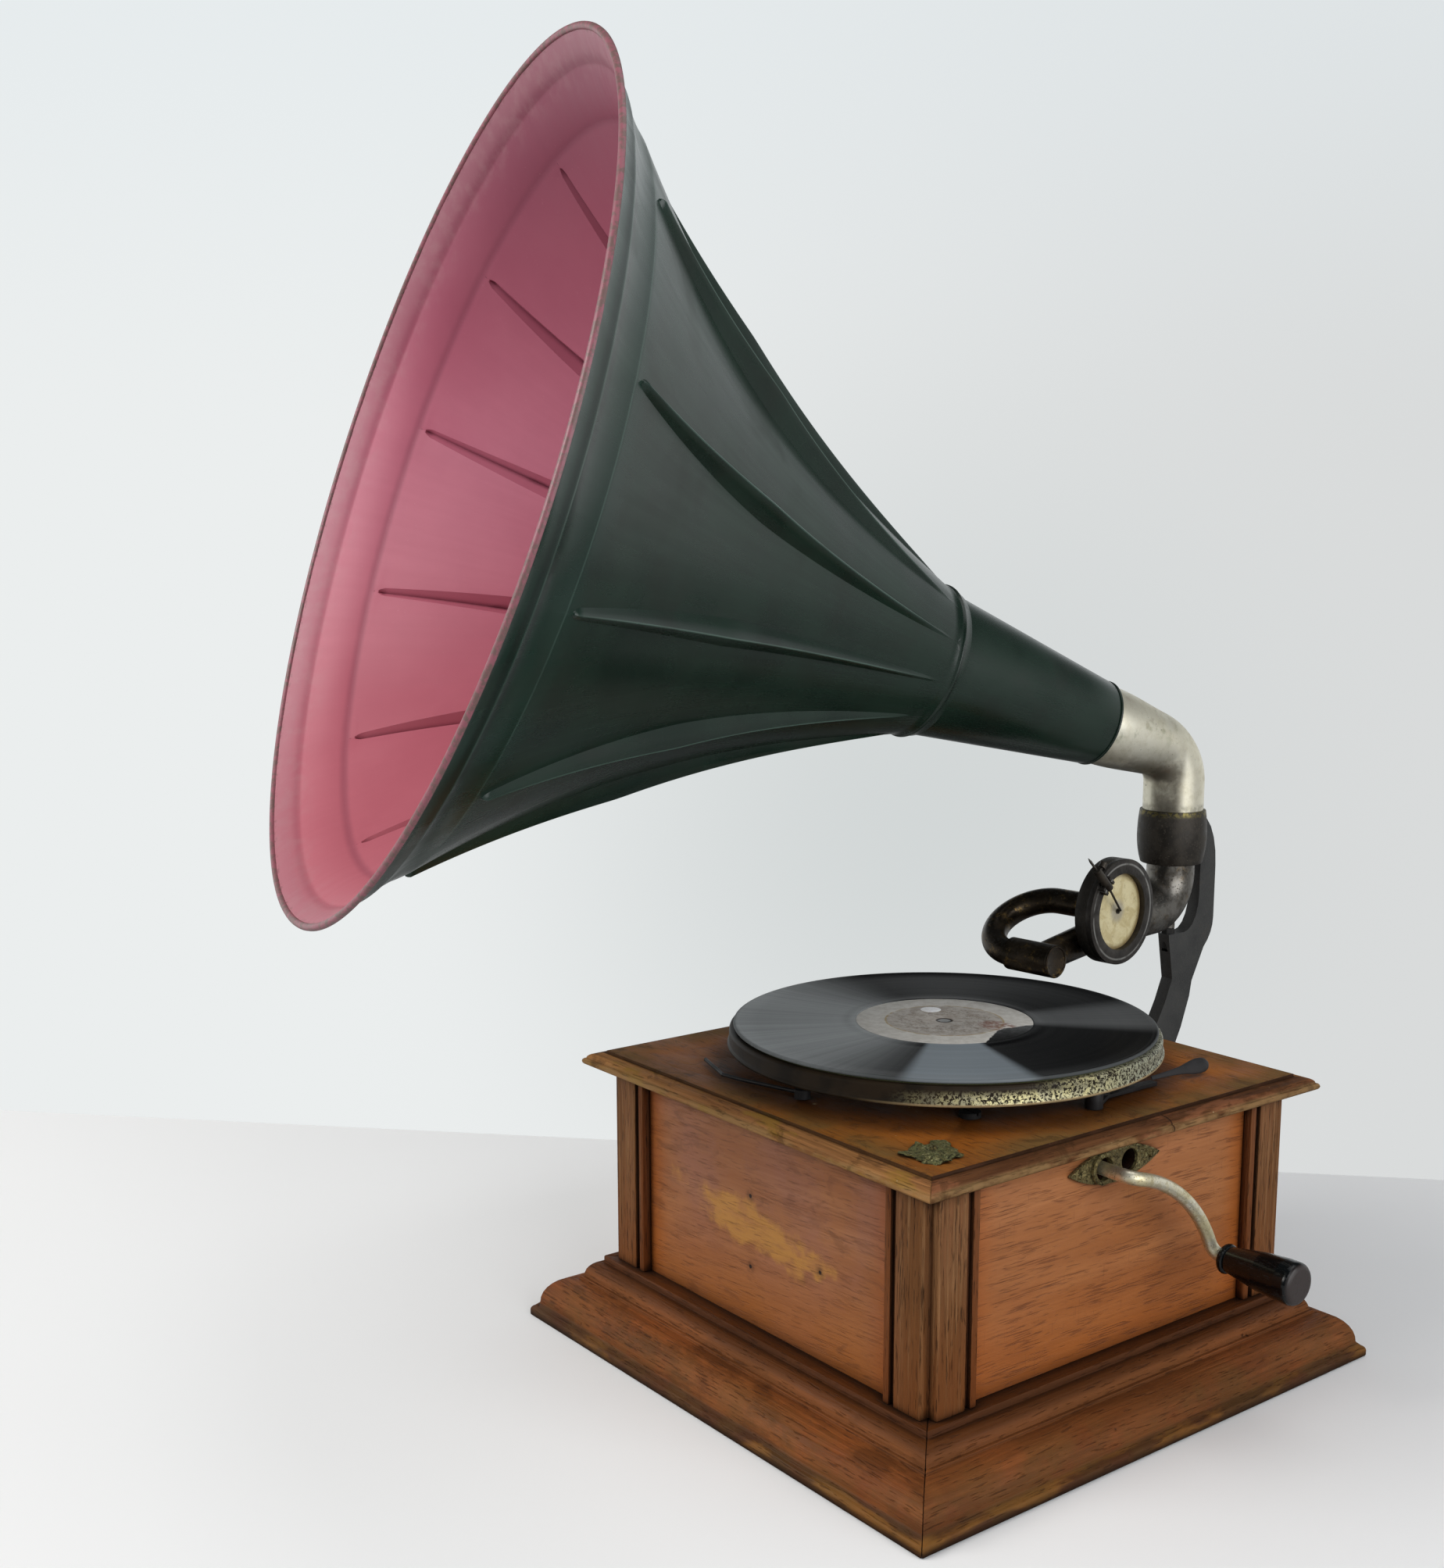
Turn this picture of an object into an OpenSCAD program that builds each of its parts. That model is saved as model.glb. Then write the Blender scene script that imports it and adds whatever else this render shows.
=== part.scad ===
// Horn gramophone: a wooden case with a spring motor, a 10 inch record and a swivelling pressed-metal horn.
// Origin at the middle of the case's underside. +Z up, -Y is the front, +X is the crank side.
// All lengths are in millimetres and all angles in degrees.

/* [Case] */
// Width and depth of the case over its corner posts
case_w = 285; // [270:1:300]
// Height of the posts and panels between the plinth and the top board
case_h = 117; // [110:1:130]
// Width of each post along the face, with its groove and bead
post_w = 34; // [30:1:38]
// Side of the notch cut down each outer corner of the case
notch_w = 6; // [3:0.5:8]
// Width of the flat fluted strip on each post
strip_w = 20; // [16:0.5:22]
// Width of the groove beside the strip
groove_w = 3.5; // [2:0.5:5]
// Depth of the groove beside the strip
groove_d = 3; // [1.5:0.5:4]
// How far the panels lie behind the faces of the posts
panel_set = 6; // [3:0.5:9]
// Thickness of each side panel
panel_t = 8; // [6:0.5:10]
// How deep each panel's end stands in its post
panel_tongue = 9; // [5:0.5:10]

/* [Plinth] */
// Width and depth over the plinth
plinth_w = 360; // [345:1:380]
// Height of the plinth
plinth_h = 41; // [38:0.5:46]
// Height of the plain band at the foot of the plinth
band_h = 8.5; // [6:0.5:10]
// Height at which the large round of the plinth ends
ovolo_top = 26; // [24:0.5:27]
// Width of the large round of the plinth
ovolo_w = 18; // [14:0.5:20]
// Width of the small upper round of the plinth
bead_w = 9; // [6:0.5:10]
// How far the plinth's top edge stands out from the posts
plinth_lip = 4; // [2:0.5:6]
// Width of the plinth moulding under the case walls
plinth_bed = 17; // [12:1:30]
// Thickness of the base board
base_t = 12; // [8:1:18]

/* [Top board] */
// Width and depth over the nose of the top board
top_w = 310; // [302:1:325]
// Width and depth of its raised flat
flat_w = 288; // [280:1:294]
// Thickness of the top board
top_t = 14; // [12:0.5:16]
// Height of the cove under the nose
cove_h = 5; // [3:0.5:6]
// Radius of the rounded nose
nose_r = 2; // [1:0.25:2.5]

/* [Brass fittings] */
// Length of the corner plate along the board's diagonal
corner_plate_w = 38; // [32:1:44]
// Width of the corner plate
corner_plate_d = 27; // [22:1:30]
// Thickness of the corner plate
corner_plate_t = 1.2; // [0.8:0.1:2]
// Length of the crank escutcheon
escutcheon_w = 72; // [66:1:80]
// Height of the crank escutcheon
escutcheon_h = 20; // [18:1:22]
// Thickness of the crank escutcheon
escutcheon_t = 2; // [1.5:0.25:3]
// Radius of each crank hole
crank_hole_r = 6.5; // [6:0.25:7]
// Distance between the two crank holes
crank_hole_gap = 22; // [20:0.5:25]
// Outer radius of the raised ring round the crank hole
escutcheon_ring_r = 9; // [8.5:0.25:9.5]
// Radius of a wood screw's head
wood_screw_head_r = 2.6; // [2:0.1:3]
// Radius of a wood screw's shank
wood_screw_r = 1.4; // [1:0.1:1.6]

/* [Crank] */
// Depth of the crank axis below the top board
crank_drop = 11; // [10:0.5:12]
// Distance of the crank axis in front of the case's middle
crank_y = 14; // [10:0.5:18]
// Distance from the crank axis to the grip axis
crank_throw = 91; // [85:1:93]
// Angle of the grip below the horizontal in the pictured pose
crank_rest = 40; // [20:1:60]
// Radius of the crank's rod
crank_rod_r = 3.8; // [3:0.1:4.5]
// How far the rod's middle stands off the faces of the posts
crank_off = 17.5; // [17:0.5:22]
// How many degrees the bowed rod turns along its length
crank_bow = 50; // [30:2:60]
// Length of the grip
grip_len = 50; // [45:1:70]
// Radius of the grip at its outer end
grip_r = 12; // [10:0.5:14]
// Radius of the grip at its inner end
grip_neck_r = 8; // [7:0.5:9]
// Radius of the pin inside the grip
grip_pin_r = 3; // [2.5:0.1:3.5]

/* [Turntable] */
// Diameter of the record
record_d = 250; // [240:1:254]
// Thickness of the record
record_t = 2; // [1.5:0.1:2.5]
// Radius of the record's label
label_r = 42; // [35:1:50]
// Diameter over the turntable's rim
platter_d = 257; // [255:1:262]
// Height of the turntable's rim
platter_h = 11.2; // [9:0.2:14]
// Thickness of the turntable's sheet
platter_t = 3; // [2:0.25:4]
// Thickness of the felt
felt_t = 1; // [0.6:0.1:2]
// Gap between the top board and the turntable's rim
platter_gap = 11.4; // [10:0.2:14]
// Radius of the turntable's spindle
spindle_r = 3.6; // [3.4:0.1:4]

/* [Motor] */
// Size of the motor plates from left to right
plate_w = 166; // [164:1:172]
// Size of the motor plates from front to back
plate_d = 166; // [164:1:172]
// Thickness of each motor plate
plate_t = 3; // [2:0.25:3.5]
// Length of the pillars between the motor plates
pillar_h = 84; // [82:1:90]
// Radius of the pillars
pillar_r = 5; // [4:0.5:6]
// Radius of the motor bolts
motor_bolt_r = 3; // [2.5:0.1:3.2]
// Distance from the spindle to the spring barrel, to the crank side
barrel_x = 68; // [66:0.5:70]
// Module of the gears: pitch diameter over number of teeth
gear_m = 1.25; // [1.2:0.01:1.28]
// Teeth of the barrel's gear
barrel_teeth = 64; // [60:1:66]
// Teeth of each pinion
pinion_teeth = 12; // [11:1:13]
// Teeth of the large intermediate wheel
wheel_teeth = 60; // [58:1:62]
// Radius of the spring barrel
barrel_r = 37; // [34:0.5:38]
// Height of the spring barrel
barrel_h = 38; // [32:0.5:39]
// Thickness of the barrel's wall
barrel_wall = 1.5; // [1:0.1:2]
// Turns of the mainspring
spring_turns = 9; // [5:1:12]
// Thickness of the mainspring's strip
spring_t = 0.6; // [0.4:0.05:0.8]
// Radius of the arbor of the spring barrel
arbor_r = 5; // [4:0.25:5.5]
// Radius of the intermediate arbor
mid_arbor_r = 3; // [2.5:0.1:3.5]
// Thickness of the gears
gear_t = 4; // [3:0.25:4.5]
// Teeth of the winding crown wheel
crown_teeth = 36; // [33:3:36]
// Teeth of the winding pinion
winding_teeth = 12; // [12:1:12]
// Module of the winding gears
winding_m = 1; // [0.95:0.01:1]

/* [Governor] */
// Outer radius of the worm wheel on the spindle
worm_wheel_r = 16; // [14:0.5:17]
// Teeth of the worm wheel
worm_wheel_teeth = 48; // [40:1:56]
// Turns of the governor for one turn of the turntable
governor_ratio = 12; // [8:1:16]
// Outer radius of the worm
worm_r = 5; // [4:0.25:5.5]
// Radius of the governor's shaft
governor_shaft_r = 2; // [1.5:0.1:2.5]
// Radius of the friction disc
governor_disc_r = 14; // [12:0.5:15]
// Radius of each weight
weight_r = 5; // [4:0.25:5.5]
// Distance of the weights from the shaft
weight_out = 12; // [11:0.25:13]
// Height of the governor shaft above the bottom plate
governor_z = 31; // [28:0.5:34]

/* [Horn] */
// Length of the horn from the elbow's end to the mouth, along its axis
horn_len = 447; // [400:1:480]
// Length of the plain conical neck
neck_len = 136; // [110:1:150]
// Outer radius of the neck at the elbow
neck_small_r = 26.8; // [25:0.2:29]
// Outer radius of the horn where neck and bell meet
neck_big_r = 45; // [40:0.5:50]
// Radius of the horn's mouth
mouth_r = 240; // [210:1:255]
// Share of the bell's flare that is a straight cone
flare_straight = 0.56; // [0.4:0.01:0.8]
// How sharply the bell opens near its mouth
flare_power = 2.6; // [2:0.1:4]
// Thickness of the horn's sheet metal
horn_t = 1.2; // [0.8:0.1:2]
// Radius of the rolled edge
rim_r = 2; // [1.5:0.1:3]
// Number of pressed ribs round the bell
rib_n = 12; // [8:1:16]
// Height of the ribs
rib_h = 5; // [2:0.25:7]
// Angle that each rib takes up
rib_angle = 2.4; // [1:0.1:4]
// Distance of the ribs' sharp ends from the mouth, along the axis
rib_end = 36; // [25:1:60]
// Turn of the horn towards the left in the pictured pose
horn_turn = 14; // [-40:1:40]
// Rise of the horn's axis above the horizontal
horn_rise = 18.3; // [10:0.1:30]

/* [Horn elbow and support] */
// Distance of the arm's upright axis behind the turntable's spindle
pivot_y = 201; // [200:0.5:206]
// Height of the point where the elbow's two axes cross
elbow_z = 344.4; // [342:0.2:352]
// Distance from that point to the neck, along the horn's axis
elbow_reach = 65; // [62:0.5:72]
// Radius of the elbow's bend
elbow_bend = 28; // [24:0.5:29]
// Outer radius of the elbow's lower tube
elbow_r = 19.5; // [18.5:0.1:20]
// Outer radius of the elbow at the horn
elbow_big_r = 25.4; // [24:0.1:25.4]
// Thickness of the elbow's wall
elbow_wall = 1.8; // [1.2:0.1:2.4]
// Height of the collar's lower edge above the end of the arm's bend
collar_lift = 5.7; // [4.7:0.5:7.7]
// Height of the collar
collar_h = 35; // [32:0.5:37]
// Largest radius of the collar
collar_r = 22.4; // [22:0.1:24]
// Thickness of the cast support from side to side
support_t = 9; // [8:0.5:12]
// Width of the support's foot
foot_w = 40; // [36:1:60]
// Thickness of the support's foot
foot_t = 6; // [4:0.5:8]
// Height of the support's foot
foot_h = 86; // [80:1:92]
// Radius of the support's bolts
support_bolt_r = 3; // [2.5:0.1:3.5]

/* [Tone arm] */
// Length of the arm from its upright axis to the cross tube
arm_len = 136.6; // [134:0.2:140]
// Height of the cross tube's axis
cross_z = 228.3; // [227:0.1:230]
// Downward slope of the arm
arm_slope = 7; // [6:0.1:8]
// Radius of the arm's bend
arm_bend = 24; // [22:0.5:25]
// Outer radius of the arm at its bend
arm_r = 15.5; // [15:0.1:16]
// Outer radius of the arm where it has tapered down
arm_mid_r = 10; // [9:0.1:10]
// Outer radius of the arm at the cross tube
arm_small_r = 9; // [8.6:0.1:9.5]
// Thickness of the arm's wall
arm_wall = 1.5; // [1:0.1:2]
// Swing of the arm to the right in the pictured pose
arm_swing = 6; // [0:0.5:12]
// Outer radius of the cross tube
cross_r = 10; // [9.8:0.1:10.4]
// Length of the cross tube to the right of the arm
cross_right = 10.5; // [10:0.5:11]
// Length of the cross tube to the left of the arm
cross_left = 21.7; // [20:0.1:26]
// Thickness of the cross tube's end cap
cross_cap_t = 2; // [1:0.25:2]
// Outer radius of the gooseneck tube
goose_r = 8; // [7.6:0.1:8.2]
// Thickness of the gooseneck's wall
goose_wall = 1.4; // [1:0.1:2]
// Distance between the gooseneck's two legs
goose_gap = 54; // [52:0.5:58]
// Angle of the gooseneck above the horizontal in the pictured pose
goose_rest = 29; // [27:0.5:35]
// Length of the gooseneck inside the cross tube
goose_in = 12; // [8:0.5:16]

/* [Sound box] */
// Outer radius of the sound box
box_r = 32.6; // [30:0.2:33]
// Thickness of the sound box's back shell
box_back_t = 8; // [6:0.5:10]
// Thickness of its front ring
box_ring_t = 3.8; // [3:0.2:5]
// Radius of the opening in the front ring
box_open_r = 23.6; // [22:0.2:25]
// Distance of the sound box's back from the arm's middle plane
box_off = 14; // [13.5:0.1:16]
// Thickness of the mica diaphragm
mica_t = 0.4; // [0.2:0.05:0.6]
// Distance from the middle of the sound box to the needle's tip
needle_reach = 56.1; // [54:0.1:58]
// Direction of the needle, turned up from straight back
needle_angle = 137; // [132:0.5:140]
// Radius of the needle
needle_r = 0.8; // [0.6:0.1:1]

/* [Levers] */
// Length of the brake lever from its pivot to the paddle's end
brake_len = 91; // [84:1:96]
// Width of the brake lever's paddle
brake_paddle_w = 13; // [10:0.5:15]
// Thickness of the brake lever
brake_t = 2; // [1.5:0.25:3]
// Radius of the brake's pad
brake_pad_r = 5; // [4:0.5:6]
// Radius of the speed lever's wire
wire_r = 1.1; // [0.8:0.1:1.5]

/* [Clearances] */
// Radial gap of each turning fit
run_fit = 0.06; // [0.03:0.01:0.09]
// Radial gap round bolts and screws
bolt_fit = 0.05; // [0.02:0.01:0.2]
// Gap kept between pieces that pass each other
pass_gap = 0.3; // [0.3:0.05:0.4]
// Half the joint between the mitred lengths of the plinth
mitre_gap = 0.05; // [0.02:0.01:0.1]

/* [Hidden] */
$fn = 64;
// Overlap that keeps a cut clear of the face it starts from
cut = 1;
// Straight lengths run this far into a bend, whose radius is greater by the step
seam = 0.4;
seam_step = 0.05;
// Wood, brass, iron and steel colours
oak = "peru";
dark_oak = "saddlebrown";
brass = "darkkhaki";
nickel = "silver";
iron = "dimgray";
black = "#202022";

// Case: half sizes and heights
half = case_w / 2;
post_in = half - post_w;
panel_face = half - panel_set;
panel_back_face = panel_face - panel_t;
case_top = plinth_h + case_h;
board_top = case_top + top_t;
bed_in = half - plinth_bed;

// Turntable heights
rim_low = board_top + platter_gap;
platter_top = rim_low + platter_h;
record_low = platter_top + felt_t;
record_top = record_low + record_t;
board_hole_r = spindle_r + 3;

// Crank: its height, the rod's plane, its end bends and its bow
crank_z = case_top - crank_drop;
rod_x = half + crank_off;
rod_bend = 2 * crank_rod_r;
bow_chord = crank_throw - 2 * rod_bend * cos(crank_bow / 2);
bow_r = bow_chord / (2 * sin(crank_bow / 2));
escutcheon_y = crank_hole_gap / 2 - crank_y;
escutcheon_face = panel_face + escutcheon_t;
escutcheon_screw_y = 0.4 * escutcheon_w;
corner_plate_at = [118, -119];
corner_hole_gap = 7.5;

// Motor: plate heights, where each axle stands, and the gear sizes
plate_top_z = case_top - plate_t;
plate_low_z = plate_top_z - pillar_h - plate_t;
plate_mid = [30, -17];
pillar_x = [-42, 86];
pillar_y = [-62, 54];
arbor_at = [barrel_x, -crank_y];
barrel_pitch_r = gear_m * barrel_teeth / 2;
pinion_pitch_r = gear_m * pinion_teeth / 2;
wheel_pitch_r = gear_m * wheel_teeth / 2;
reach_1 = barrel_pitch_r + pinion_pitch_r;
reach_2 = wheel_pitch_r + pinion_pitch_r;
train_gap = norm(arbor_at);
train_foot = (reach_1 * reach_1 - reach_2 * reach_2 + train_gap * train_gap) / (2 * train_gap);
train_side = sqrt(reach_1 * reach_1 - train_foot * train_foot);
train_dir = -arbor_at / train_gap;
mid_at = arbor_at + train_foot * train_dir + train_side * [train_dir[1], -train_dir[0]];
barrel_z = plate_low_z + 12;
barrel_top_z = barrel_z + barrel_h;
wheel_z = barrel_top_z + 6;
ratchet_z = wheel_z + gear_t + 4;
crown_pitch_r = winding_m * crown_teeth / 2;
winding_pitch_r = winding_m * winding_teeth / 2;
crown_top_z = crank_z - winding_pitch_r;
gear_add = 0.85;
gear_ded = 1.2;
tooth_share = 0.84;
flank = 20;
ratchet_r = 13;
ratchet_teeth = 18;
pawl_at = arbor_at + 24 * [cos(120), sin(120)];
pawl_tip = arbor_at + (ratchet_r + 2.2) * [cos(76), sin(76)];
pawl_pin_r = 2;
winding_shaft_r = 5.5;
bearing_x = 96;
bearing_t = 8;

// Governor: the shaft lies along Y beside the spindle
gov_x = -(worm_wheel_r + worm_r + pass_gap);
gov_z = plate_low_z + plate_t + governor_z;
gov_front = -92;
gov_back = 22;
gov_bearing_t = 4;
gov_collar_y = -22;
gov_disc_y = -77;
gov_disc_t = 2;
gov_sleeve_y = -66;
gov_collar_r = 4.5;
gov_leaf_w = 5;
gov_leaf_t = 0.6;
worm_len = 18;
worm_lead = 2 * PI * worm_wheel_r * governor_ratio / worm_wheel_teeth;

// Levers on the top board
brake_at = [106, 20];
brake_pad_at = [117, 2];
brake_low = board_top + pass_gap;
speed_at = [5, -112];
speed_tip = [-82, -115];
speed_mid = [-50.6, -125.6];
speed_near = [-35.5, -122.8];
speed_pad_x = gov_x + 9.6;
speed_shaft_r = 3;

// Horn and elbow
elbow_turn = 90 - horn_rise;
elbow_tangent = elbow_bend * tan(elbow_turn / 2);
collar_web = 2;
bell_from = neck_len;
bell_len = horn_len - neck_len;
bell_small_r = neck_big_r + horn_t;
sleeve_len = 8;
bell_steps = 22;
rib_steps = 14;

// Tone arm
arm_turn = 90 - arm_slope;
arm_tangent = arm_bend * tan(arm_turn / 2);
arm_bend_z = cross_z + arm_len * tan(arm_slope) + arm_tangent;
collar_z = arm_bend_z + collar_lift;
elbow_low = collar_z + collar_h / 2 + 0.5;
arm_top_z = elbow_low - collar_web - pass_gap;
arm_run = arm_len / cos(arm_slope) - arm_tangent;
arm_taper = 0.5 * arm_run;
boss_r = 4.2;
boss_low = arm_bend_z - arm_bend - arm_r + 1.5;
ledge_z = boss_low - 4;
fork_z = ledge_z + 23.7;
foot_z = case_top - 8 - foot_h;
pivot_pin_r = 2;

// Sound box
mica_r = box_open_r + 2.4;
holder_r = 2.6;
holder_z = box_back_t + box_ring_t + pass_gap + holder_r;
stylus_r = 0.7;
screw_at = 41;

// Points along an arc of an ellipse about c
function arc(c, rx, ry, a0, a1, n = 8) =
  [for (i = [0 : n]) c + [rx * cos(a0 + (a1 - a0) * i / n), ry * sin(a0 + (a1 - a0) * i / n)]];
// The list in reverse order
function flip(list) = [for (i = [len(list) - 1 : -1 : 0]) list[i]];
// The list without points that repeat the one before
function joined(list) = [for (i = [0 : len(list) - 1]) if (i == 0 || norm(list[i] - list[i - 1]) > 0.01) list[i]];
// The outline on the +X side and its mirror image, as one closed outline
function both_sides(list) = concat(joined(list), [for (p = flip(joined(list))) if (p[0] > 0) [-p[0], p[1]]]);
// Share u of the way from a to b
function mix(a, b, u) = a + (b - a) * u;
// Half the angle of a gear tooth at the distance x outside its pitch circle
function tooth_half(r, teeth, x, share) = 90 / teeth * share - x * tan(flank) / r * 180 / PI;
// Outline of a gear with straight-flanked teeth, one tooth on the +X axis
function gear_points(m, teeth, share) =
  let (r = m * teeth / 2, tip = r + gear_add * m, root = r - gear_ded * m)
  let (ht = tooth_half(r, teeth, gear_add * m, share), hr = tooth_half(r, teeth, -gear_ded * m, share))
  [for (k = [0 : teeth - 1], q = [[root, -hr], [tip, -ht], [tip, ht], [root, hr]])
    q[0] * [cos(360 * k / teeth + q[1]), sin(360 * k / teeth + q[1])]];
// Radius of the bell's outside at the distance s from the elbow's end
function bell_r(s) =
  let (u = (s - bell_from) / bell_len)
  let (flare = flare_straight * u + (1 - flare_straight) * pow(max(u, 0), flare_power))
  mix(bell_small_r, mouth_r - rim_r, flare);
// Slope angle of the bell's outside at s
function bell_slope(s) = atan2(bell_r(s + 0.5) - bell_r(s - 0.5), 1);
// Point of the bell's wall at s, sunk by d from the outside
function bell_point(s, d) = [bell_r(s) - d * cos(bell_slope(s)), elbow_reach + s + d * sin(bell_slope(s))];

// Circle swept from the origin along +Z and bent towards +X
module bend(r, b, angle, step = seam_step) {
  translate([b, 0, 0])
    rotate([90, 0, 180])
      rotate_extrude(angle = angle)
        translate([b, 0])
          circle(r = r + step);
}

// Moves to the end of such a bend, with +Z along the sweep
module after_bend(b, angle) {
  translate([b * (1 - cos(angle)), 0, b * sin(angle)])
    rotate([0, angle, 0])
      children();
}

// Gear standing on the plane of its foot
module gear(m, teeth, t, share = tooth_share) {
  linear_extrude(t)
    polygon(gear_points(m, teeth, share));
}

// Flat bar between two round ends
module bar2d(p, rp, q, rq) {
  side = 0.94 * [p[1] - q[1], q[0] - p[0]] / norm(q - p);
  polygon([p + side * rp, q + side * rq, q - side * rq, p - side * rp]);
  translate(p)
    circle(r = rp);
  translate(q)
    circle(r = rq);
}

// Round rod between two points, with a slightly larger ball at its far end
module rod(p, q, r) {
  d = q - p;
  translate(p)
    rotate([0, acos(d[2] / norm(d)), atan2(d[1], d[0])])
      cylinder(r = r, h = norm(d));
  translate(q)
    sphere(r = r + seam_step);
}

// Square block with the same moulded edge on all four sides
module moulded_block(points, size) {
  intersection() {
    rotate([90, 0, 0])
      linear_extrude(size + 2 * cut, center = true)
        polygon(both_sides(points));
    rotate([90, 0, 90])
      linear_extrude(size + 2 * cut, center = true)
        polygon(both_sides(points));
  }
}

// Wood screw pointing along -Z with its head on the plane z = 0
module wood_screw(len) {
  difference() {
    union() {
      cylinder(r1 = wood_screw_head_r, r2 = 0.6 * wood_screw_head_r, h = 1.2);
      translate([0, 0, -len])
        cylinder(r = wood_screw_r, h = len + 0.1);
    }
    translate([-wood_screw_head_r, -0.3, 0.6])
      cube([2 * wood_screw_head_r, 0.6, 1]);
  }
}

// Plinth: four mitred lengths of moulding
plinth_edge = concat(
  [[0, 0], [plinth_w / 2, 0], [plinth_w / 2, 0.4 * band_h]],
  arc([plinth_w / 2 - 3, 0.4 * band_h], 3, 0.35 * band_h, 0, 70, 4),
  [[plinth_w / 2 - 4.5, band_h]],
  arc([plinth_w / 2 - 4.5 - ovolo_w, band_h], ovolo_w, ovolo_top - band_h, 0, 90, 8),
  [[plinth_w / 2 - 4.5 - ovolo_w, ovolo_top + 1.5]],
  arc([half + plinth_lip, ovolo_top + 1.5], bead_w, plinth_h - 4 - ovolo_top - 1.5, 0, 90, 7),
  [[half + plinth_lip, plinth_h], [0, plinth_h]]
);

module plinth_moulding() {
  color(dark_oak)
    for (side = [0 : 3])
      rotate([0, 0, 90 * side])
        difference() {
          intersection() {
            moulded_block(plinth_edge, plinth_w);
            translate([0, 0, -cut])
              linear_extrude(plinth_h + 2 * cut)
                polygon([[0, -mitre_gap], [-plinth_w, -plinth_w - mitre_gap], [plinth_w, -plinth_w - mitre_gap]]);
          }
          translate([-bed_in, -bed_in, -cut])
            cube([2 * bed_in, 2 * bed_in, plinth_h + 2 * cut]);
        }
}

module base_board() {
  color(oak)
    translate([-bed_in, -bed_in, 0])
      cube([2 * bed_in, 2 * bed_in, base_t]);
}

// Corner post at the +X, +Y corner: fluted strips, grooves, a notched corner and slots for two panels
module post() {
  groove_at = half - notch_w - strip_w - groove_w;
  color(dark_oak)
    translate([0, 0, plinth_h])
      linear_extrude(case_h)
        difference() {
          translate([post_in, post_in])
            square(post_w);
          translate([half - notch_w, half - notch_w])
            square(notch_w + cut);
          for (m = [0, 1])
            mirror([m, -m]) {
              translate([half - groove_d, groove_at])
                square([groove_d + cut, groove_w]);
              translate([panel_back_face, post_in - cut])
                square([panel_t, panel_tongue + cut]);
            }
        }
}

module post_back_right() post();
module post_back_left() rotate([0, 0, 90]) post();
module post_front_left() rotate([0, 0, 180]) post();
module post_front_right() rotate([0, 0, 270]) post();

// Side panel on the +X side
module panel() {
  span = post_in + panel_tongue;
  translate([panel_back_face, -span, plinth_h])
    cube([panel_t, 2 * span, case_h]);
}

module panel_front() {
  color(oak)
    rotate([0, 0, -90])
      panel();
}

module panel_left() {
  color(oak)
    rotate([0, 0, 180])
      panel();
}

module panel_back() {
  color(oak)
    difference() {
      rotate([0, 0, 90])
        panel();
      support_bolt_spots()
        cylinder(r = support_bolt_r + bolt_fit, h = 4 * panel_t, center = true);
    }
}

module panel_right() {
  color(oak)
    difference() {
      panel();
      crank_holes(panel_back_face - cut, panel_t + 2 * cut);
      escutcheon_screws()
        translate([0, 0, -10])
          cylinder(r = wood_screw_r + bolt_fit, h = 12);
    }
}

// The two holes for the crank, cut along +X from x
module crank_holes(x, len) {
  for (i = [0, 1])
    translate([x, i * crank_hole_gap - crank_y, crank_z])
      rotate([0, 90, 0])
        cylinder(r = crank_hole_r, h = len);
}

// Places for the escutcheon's two screws, with +Z out of the case
module escutcheon_screws() {
  for (s = [-1, 1])
    translate([escutcheon_face, escutcheon_y + s * escutcheon_screw_y, crank_z])
      rotate([0, 90, 0])
        children();
}

// Top board: cove, rounded nose, ovolo and a raised flat
nose_at = top_w / 2 - nose_r;
ovolo_low = case_top + cove_h + 2 * nose_r;
board_edge = concat(
  [[0, case_top]],
  arc([nose_at, case_top], -(nose_at - half - 1), cove_h, 0, 90, 6),
  arc([nose_at, case_top + cove_h + nose_r], nose_r, nose_r, -90, 90, 6),
  arc([flat_w / 2 + 1, ovolo_low], nose_at - flat_w / 2 - 1, board_top - 1.5 - ovolo_low, 0, 90, 6),
  [[flat_w / 2, board_top - 1.5], [flat_w / 2, board_top], [0, board_top]]
);

module top_board() {
  color(oak)
    difference() {
      moulded_block(board_edge, top_w);
      translate([0, 0, case_top - cut])
        cylinder(r = board_hole_r, h = top_t + 2 * cut);
      translate([0, 0, case_top - cut])
        pillar_spots()
          cylinder(r = motor_bolt_r + bolt_fit, h = top_t + 2 * cut);
      translate([speed_at[0], speed_at[1], case_top - cut])
        cylinder(r = speed_shaft_r + run_fit, h = top_t + 2 * cut);
      translate([brake_at[0], brake_at[1], board_top - 10])
        cylinder(r = 3 + bolt_fit, h = 10 + cut);
      corner_frame()
        translate([0, 0, -8])
          cylinder(r = wood_screw_r + bolt_fit, h = 8 + cut);
    }
}

// Frame of the corner plate's screw, with +X along the board's diagonal
module corner_frame() {
  translate([corner_plate_at[0], corner_plate_at[1], board_top])
    rotate([0, 0, -45])
      translate([-corner_plate_w / 10, 0, 0])
        children();
}

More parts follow.
